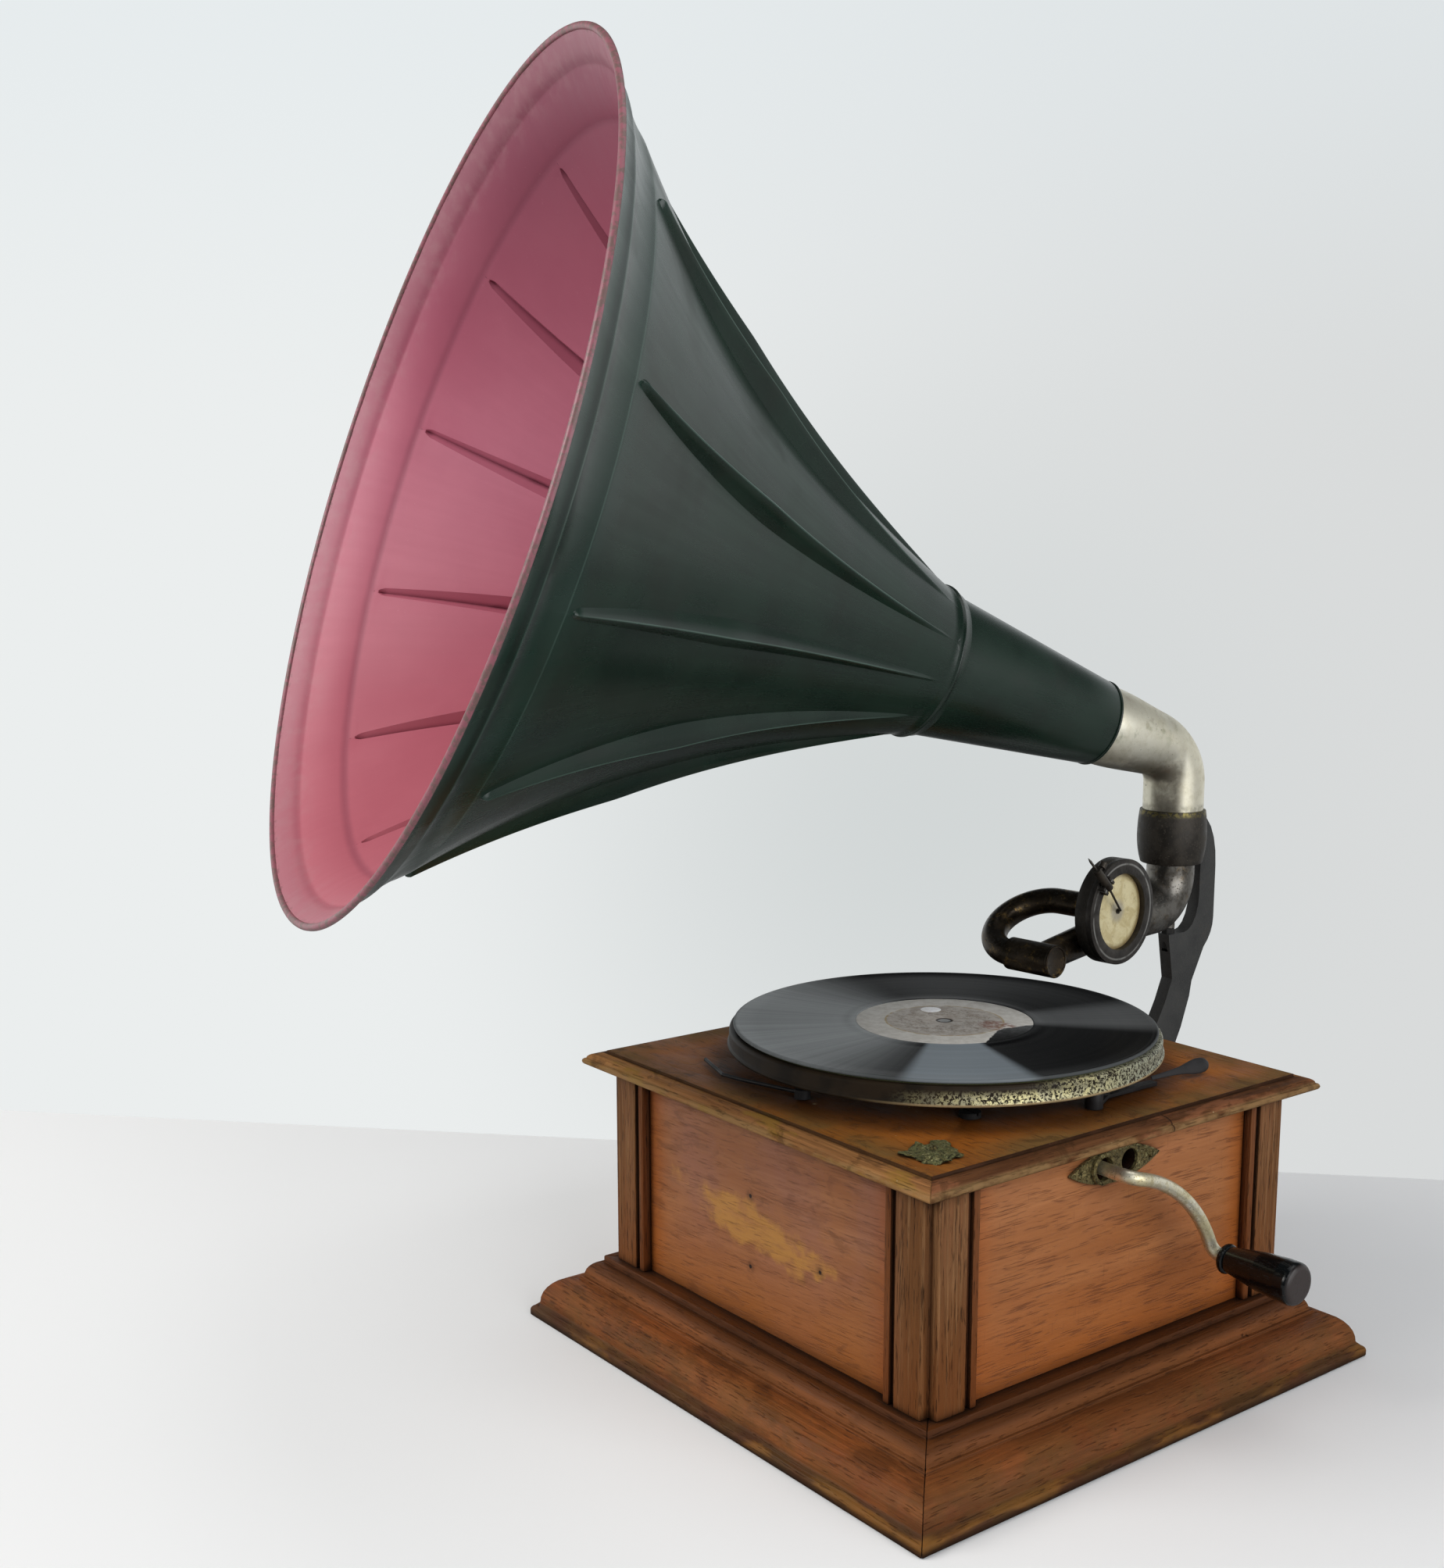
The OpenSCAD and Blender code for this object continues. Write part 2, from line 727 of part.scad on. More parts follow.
// Lozenge-shaped plate on the front right corner, its tips clipped
module corner_plate() {
  lens_r = (corner_plate_w * corner_plate_w + corner_plate_d * corner_plate_d) / (4 * corner_plate_d);
  color(brass)
    corner_frame()
      difference() {
        linear_extrude(corner_plate_t)
          translate([corner_plate_w / 10, 0])
            intersection() {
              translate([0, lens_r - corner_plate_d / 2])
                circle(r = lens_r);
              translate([0, corner_plate_d / 2 - lens_r])
                circle(r = lens_r);
              square([0.9 * corner_plate_w, corner_plate_d], center = true);
            }
        for (y = [-1, 0, 1])
          translate([0, y * corner_hole_gap, -cut])
            cylinder(r = wood_screw_r + bolt_fit, h = corner_plate_t + 2 * cut);
      }
}

module crank_escutcheon() {
  lens_r = (escutcheon_w * escutcheon_w + escutcheon_h * escutcheon_h) / (4 * escutcheon_h);
  color(brass)
    difference() {
      union() {
        translate([panel_face, escutcheon_y, crank_z])
          rotate([90, 0, 90])
            linear_extrude(escutcheon_t)
              intersection() {
                translate([0, lens_r - escutcheon_h / 2])
                  circle(r = lens_r);
                translate([0, escutcheon_h / 2 - lens_r])
                  circle(r = lens_r);
              }
        translate([panel_face, -crank_y, crank_z])
          rotate([0, 90, 0])
            cylinder(r = escutcheon_ring_r, h = escutcheon_t + 2);
      }
      crank_holes(panel_face - cut, escutcheon_t + 2 + 2 * cut);
      escutcheon_screws()
        translate([0, 0, -escutcheon_t - cut])
          cylinder(r = wood_screw_r + bolt_fit, h = escutcheon_t + 2 * cut);
    }
}

module brass_screws() {
  color(brass) {
    escutcheon_screws()
      wood_screw(9);
    corner_frame()
      translate([0, 0, corner_plate_t])
        wood_screw(7);
  }
}

// Horn support: bolted to the back panel, swept out under the top board and up behind the collar
support_shape = joined(concat(
  [[panel_face + 5, 78]],
  arc([47.9, 231.3], 179.6, 179.6, -58, -16.6, 6),
  [[221.8, 190]],
  arc([204, 231], 37.7, 30, -40, 0, 4),
  [[241.7, 266]],
  arc([222, 266], 19.7, 36, 0, 80, 5),
  [[pivot_y + 14, collar_z + 30], [pivot_y + 14, collar_z + 3], [226, collar_z + 1], [226, fork_z]],
  arc([212, fork_z], 14, fork_z - ledge_z, 0, -90, 5),
  [[pivot_y - 4.5, ledge_z]],
  arc([57.4, 246.5], 153.6, 153.6, -20, -56, 6),
  [[panel_face + 5, foot_z + 54]]
));

module arm_support() {
  color(iron)
    difference() {
      union() {
        translate([-foot_w / 2, panel_face, foot_z])
          cube([foot_w, foot_t, foot_h]);
        translate([support_t / 2, 0, 0])
          rotate([90, 0, -90])
            linear_extrude(support_t)
              polygon([for (p = support_shape) [-p[0], p[1]]]);
      }
      translate([0, pivot_y, 0])
        rotate_extrude()
          polygon(concat(
            [[0, collar_z - 20], [0, collar_z + collar_h + 20], [collar_r, collar_z + collar_h + 20]],
            collar_side(),
            [[collar_r, collar_z - 20]]
          ));
      support_bolt_spots()
        cylinder(r = support_bolt_r + bolt_fit, h = 4 * panel_t, center = true);
      translate([0, pivot_y, ledge_z - 12])
        cylinder(r = pivot_pin_r + 1.5 + bolt_fit, h = 12 + cut);
    }
}

// Places for the support's bolts, with +Z out of the case's back
module support_bolt_spots() {
  for (x = [-12, 12], z = [foot_z + 12, foot_z + foot_h - 12])
    translate([x, panel_face + foot_t, z])
      rotate([-90, 0, 0])
        children();
}

module support_bolts() {
  color(iron)
    support_bolt_spots() {
      translate([0, 0, -foot_t - panel_t - 4])
        cylinder(r = support_bolt_r, h = foot_t + panel_t + 4);
      cylinder(r = 1.7 * support_bolt_r, h = 3);
      translate([0, 0, -foot_t - panel_t - 3])
        cylinder(r = 1.8 * support_bolt_r, h = 3, $fn = 6);
    }
}

module arm_pivot_screw() {
  color(iron)
    translate([0, pivot_y, 0]) {
      translate([0, 0, ledge_z - 10])
        cylinder(r = pivot_pin_r + 1.5, h = 10);
      translate([0, 0, ledge_z])
        cylinder(r = 4.4, h = boss_low - ledge_z - pass_gap, $fn = 6);
      translate([0, 0, ledge_z])
        cylinder(r = pivot_pin_r, h = boss_low - ledge_z + 2);
    }
}

// Outside of the collar as a half outline from top to bottom
function collar_side() =
  [for (i = [0 : 8])
    let (u = i / 8)
    [collar_r - 2.6 * pow(2 * u - 1, 2) * (u > 0.5 ? 1 : 0.5), collar_z + collar_h * (1 - u)]];

// Collar that holds the horn's elbow above and the tone arm below
module horn_collar() {
  color(brass)
    translate([0, pivot_y, 0])
      difference() {
        rotate_extrude()
          polygon(concat([[0, collar_z], [0, collar_z + collar_h]], collar_side()));
        translate([0, 0, elbow_low])
          cylinder(r = elbow_r + run_fit, h = collar_h);
        translate([0, 0, collar_z - cut])
          cylinder(r = arm_r + run_fit, h = elbow_low - collar_web - collar_z + cut);
        translate([0, 0, collar_z])
          cylinder(r = arm_r - arm_wall, h = collar_h);
      }
}

// Places for the pillars and the bolts above them
module pillar_spots() {
  for (x = pillar_x, y = pillar_y)
    translate([x, y, 0])
      children();
}

// Motor plate with the bores for its three upright axles
module motor_plate(z) {
  translate([0, 0, z])
    difference() {
      translate([plate_mid[0] - plate_w / 2, plate_mid[1] - plate_d / 2, 0])
        cube([plate_w, plate_d, plate_t]);
      translate([0, 0, -cut])
        cylinder(r = spindle_r + run_fit, h = plate_t + 2 * cut);
      translate([arbor_at[0], arbor_at[1], -cut])
        cylinder(r = arbor_r + run_fit, h = plate_t + 2 * cut);
      translate([mid_at[0], mid_at[1], -cut])
        cylinder(r = mid_arbor_r + run_fit, h = plate_t + 2 * cut);
      pillar_spots()
        translate([0, 0, -cut])
          cylinder(r = motor_bolt_r + bolt_fit, h = plate_t + 2 * cut);
    }
}

// Upper plate, with the pin that the pawl turns on
module motor_top_plate() {
  color(nickel) {
    motor_plate(plate_top_z);
    translate([pawl_at[0], pawl_at[1], ratchet_z - 2])
      cylinder(r = pawl_pin_r, h = plate_top_z - ratchet_z + 2);
    translate([pawl_at[0], pawl_at[1], ratchet_z - 2])
      cylinder(r = 3.5, h = 2 - pass_gap);
  }
}

module motor_bottom_plate() {
  color(nickel)
    motor_plate(plate_low_z);
}

module motor_pillars() {
  low = plate_low_z + plate_t;
  color(nickel)
    pillar_spots()
      difference() {
        union() {
          translate([0, 0, low])
            cylinder(r = pillar_r, h = plate_top_z - low);
          translate([0, 0, plate_low_z - 2])
            cylinder(r = motor_bolt_r, h = plate_t + 3);
          translate([0, 0, plate_low_z - 2])
            cylinder(r = pillar_r - 0.5, h = 2);
        }
        translate([0, 0, plate_top_z - 14])
          cylinder(r = motor_bolt_r + bolt_fit, h = 14 + cut);
      }
}

module motor_bolts() {
  color(iron)
    pillar_spots()
      difference() {
        union() {
          translate([0, 0, plate_top_z - 12])
            cylinder(r = motor_bolt_r, h = board_top - plate_top_z + 12 + cut);
          translate([0, 0, board_top])
            cylinder(r = 2 * motor_bolt_r, h = 3);
        }
        translate([-7, -0.6, board_top + 1.5])
          cube([14, 1.2, 3]);
      }
}

// Block under the top plate that carries the winding shaft
module winding_bearing() {
  low = crank_z - winding_shaft_r - 4;
  color(nickel)
    difference() {
      translate([bearing_x, -crank_y - 10, low])
        cube([bearing_t, 20, plate_top_z - low]);
      translate([bearing_x - cut, -crank_y, crank_z])
        rotate([0, 90, 0])
          cylinder(r = winding_shaft_r + run_fit, h = bearing_t + 2 * cut);
    }
}

// Winding shaft along X: pinion, shaft, collar and a socket for the crank
module winding_shaft() {
  color(nickel)
    translate([0, -crank_y, crank_z])
      rotate([0, 90, 0])
        difference() {
          union() {
            translate([0, 0, barrel_x + crown_pitch_r - 1])
              gear(winding_m, winding_teeth, 3);
            translate([0, 0, barrel_x + crown_pitch_r + 1])
              cylinder(r = winding_pitch_r - 2, h = bearing_x - barrel_x - crown_pitch_r - 3);
            translate([0, 0, bearing_x - 2.5])
              cylinder(r = winding_shaft_r, h = panel_back_face - 4 - bearing_x + 2.5);
            translate([0, 0, bearing_x + bearing_t + pass_gap])
              cylinder(r = winding_shaft_r + 2, h = 3);
          }
          translate([0, 0, bearing_x + bearing_t + 2])
            cylinder(r = crank_rod_r + bolt_fit, h = panel_back_face - bearing_x);
        }
}

// Crown wheel on the barrel's arbor, driven by the winding pinion
module winding_wheel() {
  foot = crown_top_z - gear_ded * winding_m - 3;
  root_w = 0.27 * PI * winding_m;
  tip_w = 0.108 * PI * winding_m;
  tooth_h = 2 * winding_m;
  color(brass)
    translate([arbor_at[0], arbor_at[1], foot])
      difference() {
        union() {
          cylinder(r = crown_pitch_r + 1.5, h = 3);
          for (k = [0 : crown_teeth - 1])
            rotate([0, 0, 360 * (k + 0.5) / crown_teeth])
              translate([crown_pitch_r + 1.4, 0, 3])
                rotate([90, 0, -90])
                  linear_extrude(2.8)
                    polygon([[-root_w, -0.1], [root_w, -0.1], [tip_w, tooth_h], [-tip_w, tooth_h]]);
        }
        translate([0, 0, -cut])
          cylinder(r = arbor_r + bolt_fit, h = 3 + 2 * cut);
      }
}

module barrel_arbor() {
  color(nickel)
    translate([arbor_at[0], arbor_at[1], plate_low_z - 1]) {
      cylinder(r = arbor_r, h = plate_top_z - plate_low_z + plate_t + 0.5);
      translate([0, 0, plate_t + 1 + pass_gap])
        cylinder(r = arbor_r + 2, h = barrel_z - plate_low_z - plate_t - 2 * pass_gap);
    }
}

module ratchet_wheel() {
  color(nickel)
    translate([arbor_at[0], arbor_at[1], ratchet_z])
      linear_extrude(3)
        difference() {
          polygon([for (k = [0 : ratchet_teeth - 1], q = [[ratchet_r, 0], [ratchet_r - 2.2, 2]])
            q[0] * [cos(360 * k / ratchet_teeth - q[1]), sin(360 * k / ratchet_teeth - q[1])]]);
          circle(r = arbor_r + bolt_fit);
        }
}

module ratchet_pawl() {
  color(nickel)
    translate([pawl_at[0], pawl_at[1], ratchet_z])
      rotate([0, 0, atan2(pawl_tip[1] - pawl_at[1], pawl_tip[0] - pawl_at[0])])
        difference() {
          union() {
            linear_extrude(3)
              bar2d([0, 0], 4, [norm(pawl_tip - pawl_at), 0], 1.2);
            cylinder(r = pawl_pin_r + 1.2, h = 5);
          }
          translate([0, 0, -cut])
            cylinder(r = pawl_pin_r + run_fit, h = 5 + 2 * cut);
        }
}

// Drum with the great wheel as its floor
module spring_barrel() {
  color(brass)
    translate([arbor_at[0], arbor_at[1], barrel_z])
      difference() {
        union() {
          rotate([0, 0, atan2(mid_at[1] - arbor_at[1], mid_at[0] - arbor_at[0]) + 180 / barrel_teeth])
            gear(gear_m, barrel_teeth, gear_t);
          cylinder(r = barrel_r, h = barrel_h);
        }
        translate([0, 0, gear_t])
          cylinder(r = barrel_r - barrel_wall, h = barrel_h);
        translate([0, 0, -cut])
          cylinder(r = arbor_r + run_fit, h = gear_t + 2 * cut);
      }
}

module barrel_cover() {
  color(brass)
    translate([arbor_at[0], arbor_at[1], barrel_top_z - 1.5])
      difference() {
        cylinder(r = barrel_r - barrel_wall, h = 1.5);
        translate([0, 0, -cut])
          cylinder(r = arbor_r + run_fit, h = 1.5 + 2 * cut);
      }
}

// Flat spiral spring from the arbor to the drum's wall
module mainspring() {
  inner = arbor_r + 3;
  outer = barrel_r - barrel_wall - spring_t - 0.1;
  n = spring_turns * 18;
  spiral = [for (i = [0 : n]) [mix(inner, outer, i / n), 360 * spring_turns * i / n]];
  color(nickel)
    translate([arbor_at[0], arbor_at[1], barrel_z + gear_t])
      linear_extrude(barrel_h - gear_t - 2.5)
        polygon(concat(
          [for (p = spiral) p[0] * [cos(p[1]), sin(p[1])]],
          [for (p = flip(spiral)) (p[0] + spring_t) * [cos(p[1]), sin(p[1])]]
        ));
}

// Intermediate arbor: pinion at the great wheel, large wheel at the spindle
module intermediate_arbor() {
  color(brass)
    translate([mid_at[0], mid_at[1], 0]) {
      translate([0, 0, plate_low_z])
        cylinder(r = mid_arbor_r, h = plate_top_z - plate_low_z + plate_t);
      translate([0, 0, plate_low_z + plate_t + pass_gap])
        cylinder(r = mid_arbor_r + 2, h = 3);
      translate([0, 0, barrel_z - 0.5])
        rotate([0, 0, atan2(arbor_at[1] - mid_at[1], arbor_at[0] - mid_at[0])])
          gear(gear_m, pinion_teeth, gear_t + 1);
      translate([0, 0, wheel_z])
        rotate([0, 0, atan2(-mid_at[1], -mid_at[0])])
          gear(gear_m, wheel_teeth, gear_t);
    }
}

// Spindle: from the bottom plate up through the turntable and the record
module turntable_spindle() {
  color(nickel) {
    translate([0, 0, plate_low_z])
      cylinder(r = spindle_r, h = record_top - 0.3 - plate_low_z);
    translate([0, 0, plate_low_z + plate_t + pass_gap])
      cylinder(r = spindle_r + 2, h = 4);
    translate([0, 0, wheel_z - 0.5])
      rotate([0, 0, atan2(mid_at[1], mid_at[0]) + 180 / pinion_teeth])
        gear(gear_m, pinion_teeth, gear_t + 1);
    translate([0, 0, rim_low - 3])
      cylinder(r = spindle_r + 5, h = 3);
  }
}

module worm_wheel() {
  color(brass)
    translate([0, 0, gov_z - 4])
      difference() {
        gear(2 * worm_wheel_r / (worm_wheel_teeth + 2 * gear_add), worm_wheel_teeth, 8);
        translate([0, 0, -cut])
          cylinder(r = spindle_r + bolt_fit, h = 8 + 2 * cut);
      }
}

// Frame of the governor's shaft: +Z along +Y, origin beside the spindle
module governor_frame() {
  translate([gov_x, 0, gov_z])
    rotate([-90, 0, 0])
      children();
}

// Governor shaft with its fixed collar and its four-start worm
module governor_shaft() {
  color(nickel)
    governor_frame() {
      translate([0, 0, gov_front])
        cylinder(r = governor_shaft_r, h = gov_back - gov_front);
      translate([0, 0, gov_collar_y])
        cylinder(r = gov_collar_r, h = 6);
      for (y = [gov_front + gov_bearing_t + pass_gap, gov_back - gov_bearing_t - 2 - pass_gap])
        translate([0, 0, y])
          cylinder(r = governor_shaft_r + 1.5, h = 2);
      translate([0, 0, -worm_len / 2])
        linear_extrude(worm_len, twist = 360 * worm_len / worm_lead, slices = 40, segments = 16)
          polygon([for (i = [0 : 15]) (i % 4 < 2 ? worm_r : worm_r - 1.4) * [cos(22.5 * i), sin(22.5 * i)]]);
    }
}

// Three leaf springs between collar and disc, each with a weight at its middle
module governor_weights() {
  low = gov_sleeve_y - 5;
  high = gov_collar_y + 5;
  middle = (gov_sleeve_y + gov_collar_y) / 2;
  span = (gov_collar_y - gov_sleeve_y) / 2;
  base = gov_collar_r + 0.1;
  bow = [for (i = [0 : 12])
    let (u = i / 6 - 1)
    [base + (weight_out - base) * pow(cos(90 * u), 1.2), middle + span * u]];
  path = concat([[base, low]], bow, [[base, high]]);
  color(nickel)
    governor_frame()
      for (k = [0 : 2])
        rotate([0, 0, 90 + 120 * k]) {
          rotate([90, 0, 0])
            linear_extrude(gov_leaf_w, center = true)
              polygon(joined(concat(path, [for (p = flip(path)) p + [gov_leaf_t, 0]])));
          translate([weight_out, 0, middle])
            rotate([0, 90, 0])
              cylinder(r = weight_r, h = 4.5);
        }
}

module governor_disc() {
  color(brass)
    governor_frame()
      difference() {
        union() {
          translate([0, 0, gov_disc_y])
            cylinder(r = governor_disc_r, h = gov_disc_t);
          translate([0, 0, gov_disc_y])
            cylinder(r = gov_collar_r, h = gov_sleeve_y - gov_disc_y);
        }
        translate([0, 0, gov_disc_y - cut])
          cylinder(r = governor_shaft_r + run_fit, h = gov_sleeve_y - gov_disc_y + 2 * cut);
      }
}

module governor_bracket() {
  low = plate_low_z + plate_t;
  color(nickel)
    difference() {
      union() {
        translate([gov_x - 5, gov_front, low])
          cube([10, gov_back - gov_front, 3]);
        for (y = [gov_front, gov_back - gov_bearing_t])
          translate([gov_x - 5, y, low])
            cube([10, gov_bearing_t, gov_z - low + 6]);
      }
      governor_frame()
        translate([0, 0, gov_front - cut])
          cylinder(r = governor_shaft_r + run_fit, h = gov_back - gov_front + 2 * cut);
    }
}

// Frame of the crank: +Z along the crank's axis, +X towards the grip
module crank_frame() {
  translate([0, -crank_y, crank_z])
    rotate([90, 0, 90])
      rotate([0, 0, -crank_rest])
        children();
}

// Bowed rod with a bend at either end and the pin for the grip
module crank_arm() {
  inner_end = bearing_x + bearing_t + 3;
  color(nickel)
    crank_frame() {
      translate([0, 0, inner_end])
        cylinder(r = crank_rod_r, h = rod_x - rod_bend - inner_end + seam);
      translate([0, 0, rod_x - rod_bend])
        rotate([0, 0, crank_bow / 2]) {
          bend(crank_rod_r, rod_bend, 90);
          after_bend(rod_bend, 90)
            rotate([0, 0, -90]) {
              bend(crank_rod_r, bow_r, crank_bow, 0);
              after_bend(bow_r, crank_bow)
                rotate([0, 0, -90])
                  bend(crank_rod_r, rod_bend, 90);
            }
        }
      translate([crank_throw, 0, rod_x + rod_bend])
        cylinder(r = grip_pin_r, h = grip_len - 8);
    }
}

module crank_grip() {
  color(black)
    crank_frame()
      translate([crank_throw, 0, rod_x + rod_bend + pass_gap])
        difference() {
          rotate_extrude()
            polygon(joined(concat(
              [[0, 0], [grip_neck_r - 1, 0]],
              arc([grip_neck_r - 1, 2], 1.5, 2, -90, 90, 6),
              [[grip_neck_r - 0.6, 4.6], [mix(grip_neck_r, grip_r, 0.7), 0.5 * grip_len], [grip_r, 0.8 * grip_len]],
              arc([grip_r - 4, grip_len - 4], 4, 4, 0, 90, 6),
              [[0, grip_len]]
            )));
          translate([0, 0, -cut])
            cylinder(r = grip_pin_r + run_fit, h = grip_len - 6 + cut);
        }
}

// Speed lever: bent wire over the board, shaft through it and an arm beside the governor
module speed_lever() {
  wire_z = board_top + 3;
  color(black) {
    translate([speed_at[0], speed_at[1], board_top + pass_gap])
      cylinder(r = speed_shaft_r + 1.5, h = 5);
    translate([speed_at[0], speed_at[1], gov_z - 2])
      cylinder(r = speed_shaft_r, h = board_top + 1 - gov_z + 2);
    rod([speed_at[0], speed_at[1], wire_z], [speed_near[0], speed_near[1], wire_z], wire_r);
    rod([speed_near[0], speed_near[1], wire_z], [speed_mid[0], speed_mid[1], wire_z], wire_r);
    rod([speed_mid[0], speed_mid[1], wire_z], [speed_tip[0], speed_tip[1], wire_z], wire_r);
    translate([0, 0, gov_z - 2])
      linear_extrude(4)
        bar2d(speed_at, 4.5, [speed_pad_x, gov_disc_y - 6], 2.2);
    translate([speed_pad_x - 3, gov_disc_y - 5 - pass_gap, gov_z - 3])
      cube([6, 3, 6]);
  }
}

module speed_pad() {
  color("tan")
    translate([speed_pad_x, gov_disc_y - 2 - pass_gap, gov_z])
      rotate([-90, 0, 0])
        cylinder(r = 3, h = 2);
}

// Brake lever: flat bar with a broad paddle outside and a pad that comes up to the rim's lower edge
module brake_lever() {
  paddle_at = brake_at + (brake_len - brake_paddle_w / 2) * [sin(3), cos(3)];
  neck_at = brake_at + 0.5 * brake_len * [sin(3), cos(3)];
  color(black)
    difference() {
      union() {
        translate([0, 0, brake_low])
          linear_extrude(brake_t) {
            bar2d(brake_at, 5, neck_at, 2.5);
            bar2d(neck_at, 2.5, paddle_at, brake_paddle_w / 2);
            bar2d(brake_at, 5, brake_pad_at, 3.5);
          }
        translate([brake_pad_at[0], brake_pad_at[1], brake_low])
          cylinder(r = brake_pad_r, h = rim_low - pass_gap - brake_low);
      }
      translate([brake_at[0], brake_at[1], brake_low - cut])
        cylinder(r = 3 + run_fit, h = brake_t + 2 * cut);
    }
}

module brake_screw() {
  color(iron)
    translate([brake_at[0], brake_at[1], 0]) {
      translate([0, 0, board_top - 9])
        cylinder(r = 3, h = 9 + brake_t + 3 * pass_gap);
      translate([0, 0, brake_low + brake_t + pass_gap])
        cylinder(r = 5, h = 2.5);
    }
}

// Turntable: sheet disc with a deep rim, a rolled lower edge and a hub
module platter() {
  r = platter_d / 2;
  lip = 1.4;
  hub_r = spindle_r + 9;
  color(nickel)
    rotate_extrude()
      polygon(joined(concat(
        [[spindle_r + bolt_fit, rim_low], [hub_r, rim_low], [hub_r, platter_top - platter_t]],
        [[r - platter_t - 1, platter_top - platter_t], [r - platter_t, rim_low]],
        arc([r - lip, rim_low + lip], lip, lip, -90, 60, 5),
        [[r - 1, rim_low + 3.5]],
        arc([r - 2.5, platter_top - 2.5], 1.5, 2.5, 0, 90, 4),
        [[spindle_r + bolt_fit, platter_top]]
      )));
}

module platter_felt() {
  color("darkolivegreen")
    translate([0, 0, platter_top])
      difference() {
        cylinder(r = record_d / 2 - 2, h = felt_t);
        translate([0, 0, -cut])
          cylinder(r = spindle_r + bolt_fit, h = felt_t + 2 * cut);
      }
}

// Record: rounded edge and a label area let in a little
module record() {
  r = record_d / 2;
  color(black)
    rotate_extrude()
      polygon(joined(concat(
        [[spindle_r + bolt_fit, record_low]],
        arc([r - record_t / 2, record_low + record_t / 2], record_t / 2, record_t / 2, -90, 90, 6),
        [[label_r, record_top], [label_r, record_top - 0.15], [spindle_r + bolt_fit, record_top - 0.15]]
      )));
}

// Frame of the elbow: origin at the foot of its bend, +Z up, +X towards the mouth
module elbow_frame() {
  translate([0, pivot_y, elbow_z - elbow_tangent])
    rotate([0, 0, -horn_turn - 90])
      children();
}

// Solid of the elbow with radii r at the collar and q at the horn
module elbow_body(r, q, over) {
  straight = elbow_z - elbow_tangent - elbow_low;
  cone = elbow_reach - elbow_tangent - 2;
  translate([0, 0, -straight - over])
    cylinder(r = r, h = straight + over + seam);
  bend(r, elbow_bend, elbow_turn);
  after_bend(elbow_bend, elbow_turn)
    rotate_extrude()
      polygon([[0, -seam], [r, -seam], [r, 0], [q, cone], [q, cone + 12 + over], [0, cone + 12 + over]]);
}

module horn_elbow() {
  color(nickel)
    elbow_frame()
      difference() {
        elbow_body(elbow_r, elbow_big_r, 0);
        elbow_body(elbow_r - elbow_wall, elbow_big_r - elbow_wall, cut);
      }
}

// Frame of the horn: origin where the elbow's two axes cross, +Z towards the mouth
module horn_frame() {
  translate([0, pivot_y, elbow_z])
    rotate([0, 0, -horn_turn])
      rotate([90 - horn_rise, 0, 0])
        children();
}

// Conical neck with a rolled edge at the elbow
module horn_neck() {
  wall = horn_t / cos(atan2(neck_big_r - neck_small_r, neck_len));
  edge_r = 1.4;
  color("darkslategray")
    horn_frame()
      translate([0, 0, elbow_reach])
        rotate_extrude()
          union() {
            polygon([
              [neck_small_r - wall, 0], [neck_small_r, 0],
              [neck_big_r, neck_len], [neck_big_r - wall, neck_len]
            ]);
            translate([neck_small_r, edge_r])
              circle(r = edge_r);
          }
}

// Bell: flared sheet with pressed ribs, a sleeve over the neck and a rolled edge at the mouth
module horn_bell() {
  color("darkslategray")
    horn_frame() {
      rotate_extrude() {
        polygon(concat(
          [for (i = [0 : bell_steps]) bell_point(bell_from + bell_len * i / bell_steps, 0)],
          [for (i = [bell_steps : -1 : 0]) bell_point(bell_from + bell_len * i / bell_steps, horn_t)]
        ));
        translate([mouth_r - rim_r, elbow_reach + horn_len])
          circle(r = rim_r);
      }
      rotate_extrude()
        sleeve();
      for (k = [0 : rib_n - 1])
        rotate([0, 0, 360 * (k + 0.5) / rib_n - rib_angle / 2])
          rotate_extrude(angle = rib_angle)
            rib();
    }
}

// Half outline of the bell's sleeve round the neck
module sleeve() {
  slope = (neck_big_r - neck_small_r) / neck_len;
  over = bolt_fit;
  at = elbow_reach + bell_from;
  polygon([
    [neck_big_r + over - slope * sleeve_len, at - sleeve_len],
    [neck_big_r + over - slope * sleeve_len + horn_t, at - sleeve_len],
    [bell_small_r + 0.8, at],
    [bell_r(bell_from + 2), at + 2],
    [bell_r(bell_from + 2) - horn_t, at + 2],
    [neck_big_r + over, at]
  ]);
}

// Half outline of one rib, rooted in the middle of the sheet
module rib() {
  first = bell_from + 10;
  last = horn_len - rib_end;
  spots = [for (i = [0 : rib_steps]) [mix(first, last, i / rib_steps), i / rib_steps]];
  polygon(concat(
    [for (p = spots) bell_point(p[0], -rib_h * sin(180 * pow(p[1], 1.5)))],
    [for (p = flip(spots)) bell_point(p[0], 0.6 * horn_t)]
  ));
}

// Frame of the tone arm: origin on its upright axis at the floor, -Y along the arm
module arm_frame() {
  translate([0, pivot_y, 0])
    rotate([0, 0, arm_swing])
      children();
}

// Solid of the arm with its wall sunk by d, and of the cross tube
module arm_body(d, over) {
  r = arm_r - d;
  translate([0, 0, arm_bend_z - seam])
    cylinder(r = r, h = arm_top_z - arm_bend_z + seam + over);
  translate([0, 0, arm_bend_z])
    rotate([0, 0, -90])
      rotate([180, 0, 0]) {
        bend(r, arm_bend, arm_turn);
        after_bend(arm_bend, arm_turn)
          rotate_extrude()
            polygon([
              [0, -seam], [r, -seam], [r, 0],
              [arm_mid_r - d, arm_taper], [arm_small_r - d, arm_run], [0, arm_run]
            ]);
      }
}

